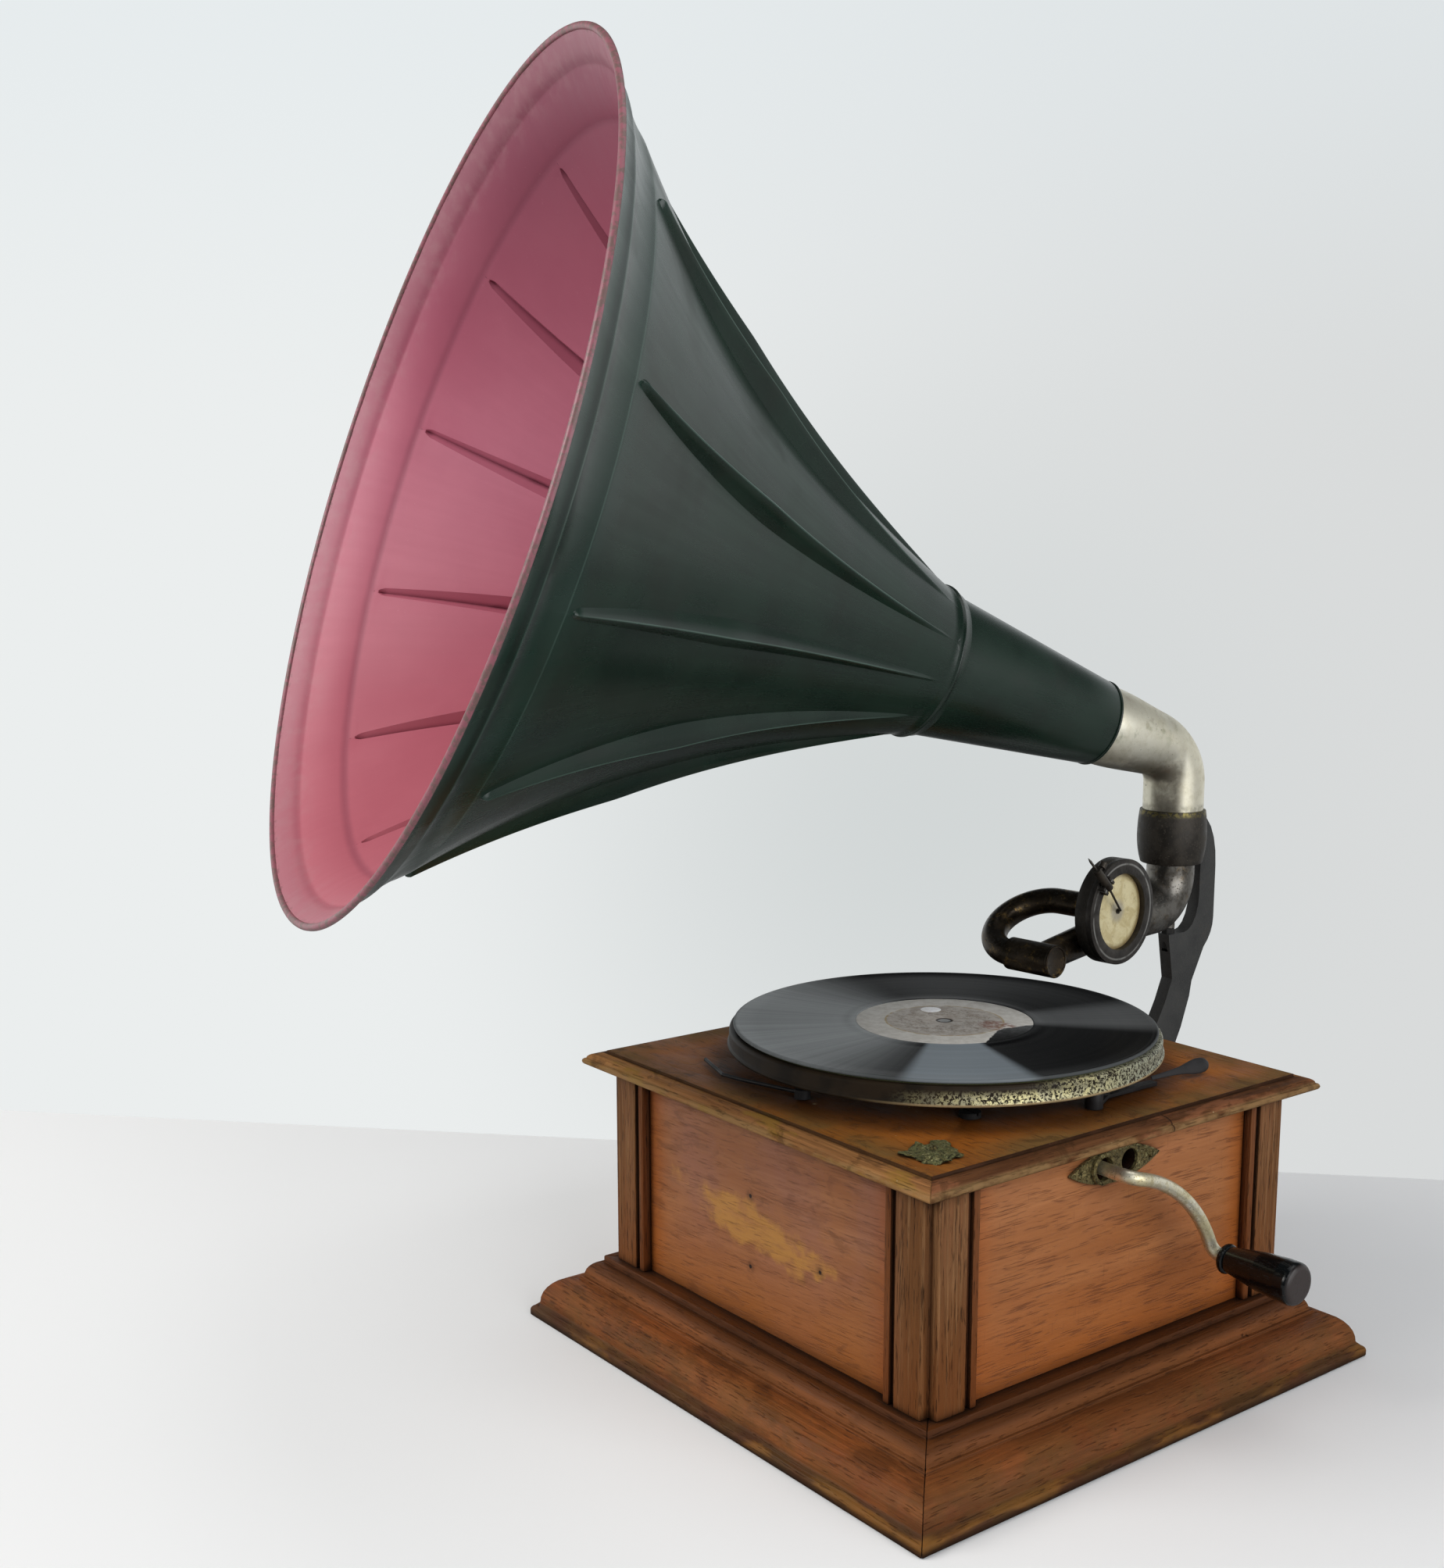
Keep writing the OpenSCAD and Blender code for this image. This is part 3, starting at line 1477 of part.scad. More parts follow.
module tone_arm() {
  color(iron)
    arm_frame()
      difference() {
        union() {
          arm_body(0, 0);
          translate([-cross_left, -arm_len, cross_z])
            rotate([0, 90, 0])
              cylinder(r = cross_r, h = cross_left + cross_right);
          translate([0, 0, boss_low])
            cylinder(r = boss_r, h = arm_bend_z - arm_bend - boss_low);
        }
        arm_body(arm_wall, cut);
        translate([-cross_left - cut, -arm_len, cross_z])
          rotate([0, 90, 0])
            cylinder(r = goose_r + run_fit, h = cross_left + cross_right + 2 * cut);
        translate([0, 0, boss_low - cut])
          cylinder(r = pivot_pin_r + run_fit, h = 2.5 + cut);
      }
}

module arm_end_cap() {
  color(iron)
    arm_frame()
      translate([cross_right, -arm_len, cross_z])
        rotate([0, 90, 0]) {
          translate([0, 0, -3])
            cylinder(r = goose_r, h = 3);
          difference() {
            cylinder(r = cross_r, h = cross_cap_t);
            translate([0, 0, cross_cap_t - 0.8])
              cylinder(r = cross_r - 1.6, h = 1);
          }
        }
}

// Frame of the gooseneck: origin on the cross tube's axis, +X along it, +Y towards the sound box
module goose_frame() {
  arm_frame()
    translate([0, -arm_len, cross_z])
      rotate([goose_rest, 0, 0])
        children();
}

// U-shaped tube from the cross tube to the sound box
module goose_body(r, over) {
  translate([-cross_left, 0, 0])
    rotate([0, 90, 0])
      cylinder(r = r, h = goose_in + over);
  translate([-cross_left, goose_gap / 2, 0])
    rotate([0, 0, 90])
      rotate_extrude(angle = 180)
        translate([goose_gap / 2, 0])
          circle(r = r);
  translate([-cross_left, goose_gap, 0])
    rotate([0, 90, 0])
      cylinder(r = r, h = cross_left + box_off + over);
}

module gooseneck() {
  color(iron)
    goose_frame()
      difference() {
        goose_body(goose_r, 0);
        goose_body(goose_r - goose_wall, cut);
      }
}

// Frame of the sound box: origin at the middle of its back, +Z through its face
module box_frame() {
  goose_frame()
    translate([box_off, goose_gap, 0])
      rotate([0, 90, 0])
        rotate([0, 0, 90])
          children();
}

// Turns to the needle's direction in the face of the sound box, with +X towards the needle
module towards_needle() {
  rotate([0, 0, needle_angle - goose_rest])
    children();
}

// Back shell: a shallow cup with a boss round the gooseneck's end
module sound_box_shell() {
  color(iron)
    box_frame()
      difference() {
        union() {
          cylinder(r = box_r, h = box_back_t);
          translate([0, 0, -5])
            cylinder(r = goose_r + 3, h = 5);
        }
        translate([0, 0, 2])
          cylinder(r = box_open_r + 0.8, h = box_back_t);
        translate([0, 0, box_back_t - mica_t])
          cylinder(r = mica_r + bolt_fit, h = mica_t + cut);
        translate([0, 0, -5 - cut])
          cylinder(r = goose_r + bolt_fit, h = 5 + cut);
        translate([0, 0, -cut])
          cylinder(r = goose_r - goose_wall, h = box_back_t);
      }
}

// Front ring with the two lugs that carry the stylus bar
module sound_box_ring() {
  color(nickel)
    box_frame()
      translate([0, 0, box_back_t]) {
        difference() {
          cylinder(r = box_r, h = box_ring_t);
          translate([0, 0, -cut])
            cylinder(r = box_open_r, h = box_ring_t + 2 * cut);
        }
        towards_needle()
          for (s = [-1, 1])
            translate([box_open_r + 1.5, s * (holder_r + 1.5) - 1, box_ring_t - 0.5])
              cube([6, 2, 4.7]);
      }
}

module diaphragm() {
  color("ivory")
    box_frame()
      translate([0, 0, box_back_t - mica_t])
        cylinder(r = mica_r, h = mica_t);
}

// Stylus bar: needle holder outside, thin lever to the middle of the diaphragm
module stylus_bar() {
  color(black)
    box_frame() {
      towards_needle() {
        difference() {
          translate([box_open_r + 2, 0, holder_z])
            rotate([0, 90, 0])
              cylinder(r = holder_r, h = screw_at + 3.5 - box_open_r - 2);
          translate([screw_at - 4, 0, holder_z])
            rotate([0, 90, 0])
              cylinder(r = needle_r + bolt_fit, h = 10);
          translate([screw_at, 0, holder_z])
            rotate([90, 0, 0])
              cylinder(r = 1 + bolt_fit, h = 5);
        }
        rod([box_open_r + 3, 0, holder_z], [1.5, 0, box_back_t + 3], stylus_r);
        rod([1.5, 0, box_back_t + 3], [0, 0, box_back_t + stylus_r], stylus_r);
      }
      translate([0, 0, box_back_t])
        cylinder(r = 1.6, h = 1);
    }
}

module needle() {
  tip = 3;
  color(nickel)
    box_frame()
      towards_needle()
        translate([screw_at - 4, 0, holder_z])
          rotate([0, 90, 0]) {
            cylinder(r = needle_r, h = needle_reach - screw_at + 4 - tip);
            translate([0, 0, needle_reach - screw_at + 4 - tip])
              cylinder(r1 = needle_r, r2 = 0.15, h = tip);
          }
}

// Thumbscrew that holds the needle
module needle_screw() {
  color(nickel)
    box_frame()
      towards_needle()
        translate([screw_at, -needle_r - 0.1, holder_z])
          rotate([90, 0, 0]) {
            cylinder(r = 1, h = 3.5);
            translate([0, 0, 3])
              cylinder(r = 2.4, h = 3.5);
          }
}

plinth_moulding();
base_board();
post_front_left();
post_front_right();
post_back_left();
post_back_right();
panel_front();
panel_back();
panel_left();
panel_right();
top_board();
corner_plate();
crank_escutcheon();
brass_screws();
arm_support();
support_bolts();
arm_pivot_screw();
horn_collar();
motor_top_plate();
motor_bottom_plate();
motor_pillars();
motor_bolts();
winding_bearing();
winding_shaft();
winding_wheel();
barrel_arbor();
ratchet_wheel();
ratchet_pawl();
spring_barrel();
barrel_cover();
mainspring();
intermediate_arbor();
turntable_spindle();
worm_wheel();
governor_shaft();
governor_weights();
governor_disc();
governor_bracket();
crank_arm();
crank_grip();
speed_lever();
speed_pad();
brake_lever();
brake_screw();
platter();
platter_felt();
record();
horn_elbow();
horn_neck();
horn_bell();
tone_arm();
arm_end_cap();
gooseneck();
sound_box_shell();
sound_box_ring();
diaphragm();
stylus_bar();
needle();
needle_screw();
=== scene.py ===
from math import atan2, cos, degrees, pi, radians, sin

import bmesh
import bpy
from mathutils import Matrix, Vector


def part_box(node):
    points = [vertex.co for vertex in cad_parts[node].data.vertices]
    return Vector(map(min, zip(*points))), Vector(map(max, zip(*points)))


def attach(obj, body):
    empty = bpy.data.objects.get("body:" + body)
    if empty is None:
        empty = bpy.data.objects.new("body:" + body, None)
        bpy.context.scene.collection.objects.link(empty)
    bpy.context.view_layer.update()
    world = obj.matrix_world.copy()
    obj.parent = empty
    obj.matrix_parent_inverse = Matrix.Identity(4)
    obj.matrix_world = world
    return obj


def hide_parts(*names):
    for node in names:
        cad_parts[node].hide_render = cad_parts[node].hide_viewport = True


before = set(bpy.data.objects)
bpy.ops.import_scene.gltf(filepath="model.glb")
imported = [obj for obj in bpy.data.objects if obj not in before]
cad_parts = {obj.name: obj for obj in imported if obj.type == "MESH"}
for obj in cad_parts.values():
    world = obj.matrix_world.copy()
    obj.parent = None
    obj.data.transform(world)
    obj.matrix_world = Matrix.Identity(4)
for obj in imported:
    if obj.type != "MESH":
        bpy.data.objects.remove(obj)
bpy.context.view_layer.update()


# ---------------------------------------------------------------------------
# Studio: the photographer's camera, a pale table whose back edge shows as a
# faint line, a pale wall beyond it, and soft light from large panels.
# The helpers that write a finish as an expression start here.
# ---------------------------------------------------------------------------
def paint(code):
    """Linear colour from a six-digit sRGB code."""
    parts = [int(code[i:i + 2], 16) / 255 for i in (0, 2, 4)]
    return tuple(((p + 0.055) / 1.055) ** 2.4 if p > 0.04045 else p / 12.92 for p in parts) + (1,)


class Wire:
    """A number or colour on its way through a finish; arithmetic on it adds Math nodes."""

    def __init__(self, finish, socket):
        self.finish, self.socket = finish, socket

    def math(self, operation, *values):
        return self.finish.node("Math", {"operation": operation}, dict(enumerate(values)))

    def __add__(self, other):
        return self.math("ADD", self, other)

    def __sub__(self, other):
        return self.math("SUBTRACT", self, other)

    def __rsub__(self, other):
        return self.math("SUBTRACT", other, self)

    def __mul__(self, other):
        return self.math("MULTIPLY", self, other)

    def __truediv__(self, other):
        return self.math("DIVIDE", self, other)

    def __pow__(self, other):
        return self.math("POWER", self, other)

    def __abs__(self):
        return self.math("ABSOLUTE", self)

    __radd__, __rmul__ = __add__, __mul__

    def least(self, other):
        return self.math("MINIMUM", self, other)

    def most(self, other):
        return self.math("MAXIMUM", self, other)

    def above(self, edge, soft):
        """0 below edge - soft, 1 above edge + soft, and a smooth step between them."""
        return self.finish.node("MapRange", {"interpolation_type": "SMOOTHSTEP"},
                                {"Value": self, "From Min": edge - soft, "From Max": edge + soft})

    def below(self, edge, soft):
        return 1 - self.above(edge, soft)

    def between(self, low, high, soft):
        return self.above(low, soft) * self.below(high, soft)


class Finish:
    """One material; its place is Object coordinates in metres, which are the row frame."""

    def __init__(self, name, tree=None):
        if tree is None:
            self.material = bpy.data.materials.new(name)
            self.material.use_nodes = True
            tree = self.material.node_tree
            self.shader = tree.nodes["Principled BSDF"]
        self.tree, self.colour = tree, None
        self.place = self.node("TexCoord", {}, {}, "Object" if tree.nodes.get("Principled BSDF") else "Generated")
        self.x, self.y, self.z = self.split(self.place)

    def node(self, kind, settings, values, out=0):
        made = self.tree.nodes.new("ShaderNode" + kind)
        for key, value in settings.items():
            setattr(made, key, value)
        for key, value in values.items():
            self.feed(made.inputs[key], value)
        return Wire(self, made.outputs[out])

    def feed(self, socket, value):
        if isinstance(value, Wire):
            self.tree.links.new(value.socket, socket)
        else:
            socket.default_value = paint(value) if isinstance(value, str) else value

    def split(self, vector):
        first = self.node("SeparateXYZ", {}, {0: vector})
        return [Wire(self, socket) for socket in first.socket.node.outputs]

    def join(self, x, y, z):
        return self.node("CombineXYZ", {}, {0: x, 1: y, 2: z})

    def moved(self, place, turn=(0, 0, 0), scale=(1, 1, 1)):
        return self.node("Mapping", {}, {0: place, 2: [radians(t) for t in turn], 3: scale})

    def noise(self, size, detail, rough=0.55, place=None, stretch=(1, 1, 1), warp=0):
        """Clouds of about that size in metres, round 0.5; stretch draws them out along an axis."""
        where = self.moved(place or self.place, scale=[1 / (size * s) for s in stretch])
        return self.node("TexNoise", {}, {"Vector": where, "Scale": 1, "Detail": detail,
                                          "Roughness": rough, "Distortion": warp})

    def spots(self, size, place=None):
        """Distance to the nearest of many scattered points, about that size in metres apart."""
        where = self.moved(place or self.place, scale=[1 / size] * 3)
        return self.node("TexVoronoi", {}, {"Vector": where, "Scale": 1}, "Distance")

    def in_corners(self, reach, edge, soft):
        """1 deep in a corner or crack of that reach in metres, and 0 in the open; it is ambient occlusion, and laid
        over a colour it is painted shade.
        """
        return self.node("AmbientOcclusion", {"samples": 6}, {"Distance": reach}, "AO").below(edge, soft)

    def away(self, point):
        """Distance in metres from a point."""
        return self.node("VectorMath", {"operation": "DISTANCE"}, {0: self.place, 1: point}, "Value")

    def angle(self, y, x):
        return self.node("Math", {"operation": "ARCTAN2"}, {0: y, 1: x})

    def either(self, share, first, second):
        """One place where share is 0 and the other where it is 1."""
        return self.node("Mix", {"data_type": "VECTOR"}, {0: share, 4: first, 5: second}, 1)

    def blend(self, share, under, over):
        return self.node("Mix", {"data_type": "RGBA"}, {0: share, 6: under, 7: over}, 2)

    def ground(self, share, under, over):
        """The first colour of the piece, before anything is laid over it."""
        self.colour = self.blend(share, under, over)

    def over(self, share, colour):
        """Lays one more colour over the piece, by its share."""
        self.colour = self.blend(share, self.colour, colour)

    def give(self, gloss=0.5, relief=None, **sockets):
        """Hands the colours to the shader, with a relief of (height from 0 to 1, its depth in metres)."""
        sockets.setdefault("Base_Color", self.colour)
        sockets["Specular_IOR_Level"] = gloss
        if relief:
            bump = {"Height": relief[0], "Distance": relief[1], "Strength": 1}
            sockets["Normal"] = self.node("Bump", {}, bump, "Normal")
        for key, value in sockets.items():
            self.feed(self.shader.inputs[key.replace("_", " ")], value)
        return self.material


def way(vector, east, north, up=0):
    """How far a place or direction lies along a direction of the row frame."""
    return vector.x * east + vector.y * north + vector.z * up


TO_THE_RIGHT, TO_THE_CAMERA = (0.629, 0.777), (0.777, -0.629)  # over the ground, as the photograph shows them


TABLE_EDGE, TABLE_SIZE = 0.333, 9
TABLE_MIDDLE = TABLE_SIZE / 2 - TABLE_EDGE
EDGE_WAY = Vector((-0.687, 0.726, 0))


def table_top():
    """White paper, faintly cloudy; the camera sees it a little lighter than it lights the object."""
    finish = Finish("studio_table")
    seen = finish.node("LightPath", {}, {}, "Is Camera Ray")
    paper = finish.blend(finish.noise(0.9, 1).above(0.5, 0.4), "ebecec", "f2f2f2")
    # Painted light on the paper: lighter to the right of the object and towards the back edge.
    far_right = finish.x.above(0.36, 0.3).most((finish.y - TABLE_MIDDLE).above(0.22, 0.3) * 0.4)
    paper = finish.blend(far_right, paper, "ffffff")
    return finish.give(Base_Color=finish.blend(seen, "b2b3b3", paper), Roughness=0.8, gloss=0.1)


bpy.ops.object.select_all(action="DESELECT")
bpy.ops.mesh.primitive_plane_add(size=TABLE_SIZE, location=EDGE_WAY * -TABLE_MIDDLE - Vector((0, 0, 0.0003)),
                                 rotation=(0, 0, atan2(-EDGE_WAY.x, EDGE_WAY.y)))
table = bpy.context.object
table.name = "studio_table"
table.data.materials.append(table_top())

world = bpy.data.worlds.new("studio")
bpy.context.scene.world = world
world.use_nodes = True
sky = Finish("studio", world.node_tree)
rays = sky.node("LightPath", {}, {}, "Is Camera Ray")
ray_outputs = rays.socket.node.outputs
mirror_ray = Wire(sky, ray_outputs["Is Glossy Ray"]).most(Wire(sky, ray_outputs["Is Transmission Ray"]))
wall = sky.blend(way(sky, *TO_THE_RIGHT).above(0.03, 0.3), "ebeeee", "d9dbdb")
wall = sky.blend(sky.z.above(0.17, 0.13) * 0.6, wall, "e3eaed")
wall = sky.blend(sky.away((-0.731, 0.663, -0.14)).below(0.15, 0.15) * 0.6, wall, "c8cece")
room = sky.blend(way(sky, 0.02, -0.99, -0.12).above(0.9, 0.07), "a2a4a5", "232425")
mirrored = sky.blend(way(sky, -0.77, 0.63).above(0.2, 0.35), room, wall)
mirrored = sky.blend(sky.z.above(0.38, 0.17), mirrored, "383b3d")
mirrored = sky.blend(sky.z.below(-0.3, 0.15), mirrored, "4a4b4c")
ambient = sky.blend(sky.z.above(0.38, 0.2), "a9abad", "737577")
light = sky.blend(mirror_ray, ambient, mirrored)
light = sky.blend(rays, light, wall)
background = world.node_tree.nodes["Background"]
sky.feed(background.inputs["Color"], light)
background.inputs["Strength"].default_value = 1.0


def soft_panel(name, at, toward, size, power, tint):
    bpy.ops.object.light_add(type="AREA", location=at)
    panel = bpy.context.object
    panel.name = name
    panel.data.shape = "RECTANGLE"
    panel.data.size, panel.data.size_y = size
    panel.data.energy, panel.data.color = power, tint
    panel.rotation_euler = (Vector(toward) - Vector(at)).to_track_quat("-Z", "Y").to_euler()


soft_panel("key_panel", (-0.9, -2.1, 1.7), (0, 0, 0.25), (1.8, 1.4), 60, (1.0, 0.985, 0.96))
soft_panel("fill_panel", (2.3, 0.0, 1.1), (0, 0, 0.25), (2.4, 2.0), 44, (0.97, 0.98, 1.0))
soft_panel("top_panel", (0.1, 0.5, 2.6), (0, 0, 0.2), (1.6, 1.6), 10, (1.0, 1.0, 1.0))

eye, target = Vector((0.7644, -0.7301, 0.4732)), Vector((-0.0539, -0.0680, 0.2922))
bpy.ops.object.camera_add(location=eye)
camera = bpy.context.object
camera.name = "photograph_camera"
camera.matrix_world = (Matrix.Translation(eye) @ (target - eye).to_track_quat("-Z", "Y").to_matrix().to_4x4()
                       @ Matrix.Rotation(radians(0.3), 4, "Z"))
camera.data.sensor_fit, camera.data.sensor_width, camera.data.lens = "AUTO", 36, 42.06
camera.data.shift_x, camera.data.shift_y = -0.0489, 0.0498
bpy.context.scene.camera = camera
bpy.context.scene.view_settings.view_transform = "Standard"


# ---------------------------------------------------------------------------
# Plinth: four mitred lengths of stained hardwood moulding round a plain base
# board, waxed dark, with worn pale edges, and painted shade in the quirks and corners.
# ---------------------------------------------------------------------------
def clear_selection():
    if bpy.context.mode != "OBJECT":
        bpy.ops.object.mode_set(mode="OBJECT")
    bpy.ops.object.select_all(action="DESELECT")


def select_only(piece):
    clear_selection()
    piece.select_set(True)
    bpy.context.view_layer.objects.active = piece


def open_mesh(piece=None):
    """Edit mode with the whole of the piece selected."""
    if piece:
        select_only(piece)
    bpy.ops.object.mode_set(mode="EDIT")
    bpy.ops.mesh.select_all(action="SELECT")


def close_mesh(angle=None):
    """Back to object mode; edges flatter than the angle are then shaded smooth."""
    bpy.ops.object.mode_set(mode="OBJECT")
    if angle:
        bpy.ops.object.shade_smooth_by_angle(angle=radians(angle))
    return bpy.context.object


def declare(piece, name, body, slot, finish, *nodes):
    """Names a finished piece, gives it its finish unless it has some, and says what it rides on and stands for."""
    piece.name = piece.data.name = name
    if finish:
        piece.data.materials.clear()
        piece.data.materials.append(finish)
    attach(piece, body)
    if nodes:
        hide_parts(*nodes)
    return piece


SAME_POINT, SAME_PLANE = 0.000002, radians(0.6)  # of a CAD node's loose triangles
SHARP, SMOOTH = radians(32), radians(38)


def eased(name, node, body, slot, finish, width, steps=2):
    """A copy of a CAD node with its sharp edges rounded by width, as sanding or casting leaves them."""
    piece = bpy.data.objects.new(name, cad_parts[node].data.copy())
    bpy.context.scene.collection.objects.link(piece)
    select_only(piece)
    bpy.ops.mesh.customdata_custom_splitnormals_clear()
    open_mesh()
    bpy.ops.mesh.remove_doubles(threshold=SAME_POINT)
    bpy.ops.mesh.dissolve_limited(angle_limit=SAME_PLANE)
    close_mesh()
    rounding = piece.modifiers.new("rounding", "BEVEL")
    rounding.width, rounding.segments = width, steps
    rounding.limit_method, rounding.angle_limit = "ANGLE", SHARP
    rounding.use_clamp_overlap = True
    bpy.ops.object.modifier_apply(modifier="rounding")
    bpy.ops.object.shade_smooth_by_angle(angle=SMOOTH)
    return declare(piece, name, body, slot, finish, node)


def wood(finish, along):
    """Broad figure, fine streaks and dark pores of a board; along is a vector with the grain on X."""
    drift = {"Vector": finish.moved(along, scale=(9, 24, 24)), "Scale": 1, "Detail": 2}
    warped = finish.node("VectorMath", {"operation": "MULTIPLY_ADD"}, {
        0: finish.node("TexNoise", {}, drift, "Color"), 1: (0.0, 0.004, 0.004), 2: along})
    figure = finish.noise(0.016, 3, 0.5, warped, (7, 1, 1)).above(0.5, 0.16)
    streaks = finish.noise(0.0017, 5, 0.65, warped, (40, 1, 1)).above(0.5, 0.2)
    pores = finish.noise(0.0011, 2, 0.6, warped, (13, 1, 1)).above(0.64, 0.05)
    return figure, streaks, pores


def mitred(finish):
    """Grain that runs along each side of a mitred frame."""
    side = (abs(finish.x) - abs(finish.y)).above(0, 0.0004)
    return finish.either(side, finish.place, finish.join(finish.y, finish.x, finish.z)), side


def near_marks(finish, marks, size, soft):
    """1 inside small round marks at given places."""
    found = 0.0
    for mark in marks:
        found = finish.away(mark).below(size, soft).most(found)
    return found


NAIL_MARKS = ((0.109, -0.1705, 0.0127), (0.1655, -0.1316, 0.043), (0.1605, -0.0468, 0.0383), (-0.04, -0.166, 0.031))
TOP_ROLL, TOP_QUIRK = (0.1495, 0.157), 0.1545  # of the moulding, from the middle of the case
FOOT_FILLET = 0.0085


def plinth_wood():
    finish = Finish("plinth_wood")
    along, side = mitred(finish)
    figure, streaks, pores = wood(finish, along)
    cloud = finish.noise(0.05, 4, 0.6).above(0.5, 0.15)
    front = finish.blend(figure, "7f431e", "98572d")
    flank = finish.blend(figure, "733e1c", "8c5029")
    finish.ground(side, front, flank)
    finish.over(streaks * 0.58, "482610")
    finish.over(cloud * 0.4, "684321")
    grime = finish.noise(0.024, 5, 0.66, along, (2.2, 1, 1)).above(0.53, 0.07)
    finish.over(grime * (0.55 - 0.35 * side), "45250f")
    near_corner = way(finish, 0.7, -0.7).above(0.225, 0.03) * finish.noise(0.02, 5, 0.6).above(0.5, 0.15)
    finish.over(near_corner * 0.7, "4f2712")
    out = abs(finish.x).most(abs(finish.y))
    finish.over(out.between(*TOP_ROLL, 0.002) * 0.3, "9a6033")
    # Painted shade in the quirk inside the top roll.
    finish.over(out.below(TOP_QUIRK, 0.002) * 0.8, "48270f")
    finish.over(finish.z.below(FOOT_FILLET, 0.0012) * 0.8, "3f2615")
    rubbed = finish.noise(0.014, 4, place=along, stretch=(4, 1, 1)).above(0.54, 0.07)
    finish.over(rubbed * finish.z.between(0.001, FOOT_FILLET - 0.0007, 0.0015) * 0.6, "8f5f28")
    dusty = out.above(0.166, 0.008) * finish.noise(0.03, 4).above(0.5, 0.12)
    finish.over(dusty * 0.32, "57431f")
    # Painted shade in corners and cracks, from ambient occlusion.
    corner_shade = finish.in_corners(0.009, 0.7, 0.27)
    finish.over(corner_shade * 0.92, "1c0f07")
    finish.over(pores * 0.5, "2f190b")
    knocks = finish.spots(0.028, along).below(0.03, 0.02)
    holes = near_marks(finish, NAIL_MARKS, 0.0011, 0.0006)
    finish.over((knocks * 0.7).most(holes), "170c06")
    return finish.give(Roughness=0.42 + 0.15 * cloud + 0.2 * corner_shade, gloss=0.12,
                       relief=(streaks * 0.6 - pores - knocks * 2 - holes * 3 - grime * 0.4, 0.00028))


eased("plinth", "plinth_moulding", "case", "dark_wood", plinth_wood(), 0.0007)


def board_wood():
    finish = Finish("base_wood")
    figure, streaks, pores = wood(finish, finish.place)
    finish.ground(figure, "8c6a48", "a17c55")
    finish.over(streaks * 0.4, "6e5035")
    finish.over(pores * 0.6, "4b3422")
    return finish.give(Roughness=0.75, relief=(streaks - pores, 0.0002))


eased("base", "base_board", "case", "panel_wood", board_wood(), 0.0006)


# ---------------------------------------------------------------------------
# Corner posts and side panels: upright posts of the same dark wood with a
# planed strip, a groove and a notched corner, and panels of paler wood, grain
# level, let into slots in the posts.
# ---------------------------------------------------------------------------
STRIP_INSIDE, STRIP_OUTSIDE = 0.1163, 0.137  # edges of the planed strip, from the middle of the case


def post_wood():
    finish = Finish("post_wood")
    along = finish.join(finish.z, finish.x, finish.y)
    figure, streaks, pores = wood(finish, along)
    long_streaks = finish.noise(0.0028, 4, 0.6, along, (34, 1, 1)).above(0.55, 0.07)
    finish.ground(figure, "704826", "855938")
    finish.over(long_streaks * 0.6, "98704a")
    finish.over(streaks * 0.5, "4d2e18")
    splits = finish.noise(0.0016, 3, 0.6, along, (26, 1, 1)).above(0.66, 0.03)
    finish.over(splits * 0.65, "2a170b")
    low = finish.z.below(0.08, 0.04)
    finish.over(low * 0.5, "7c4520")
    out = abs(finish.x).least(abs(finish.y))
    finish.over(out.below(STRIP_INSIDE, 0.0015) * 0.6, "6b3616")
    # Painted shade in the notch at the corner, outside the planed strip.
    finish.over(out.above(STRIP_OUTSIDE, 0.0006) * 0.6, "3b2312")
    # Painted shade in corners and cracks, from ambient occlusion.
    corner_shade = finish.in_corners(0.007, 0.64, 0.3)
    finish.over(corner_shade * 0.92, "180c05")
    finish.over(pores * 0.65, "28160a")
    return finish.give(Roughness=0.45 + 0.2 * streaks, gloss=0.12,
                       relief=(streaks * 0.7 + long_streaks - pores - splits * 2, 0.0003))


post_finish = post_wood()
for corner in ("front_left", "front_right", "back_left", "back_right"):
    eased("corner_" + corner, "post_" + corner, "case", "dark_wood", post_finish, 0.0008)


def span(one, other):
    """Straight distance over two that stand at right angles."""
    return (one ** 2 + other ** 2) ** 0.5


NAIL_HOLES = ((-0.0105, 0.1162), (-0.0104, 0.0748), (0.0507, 0.0909))
CRANK_HOLES = ((-0.014, 0.147), (0.008, 0.147))


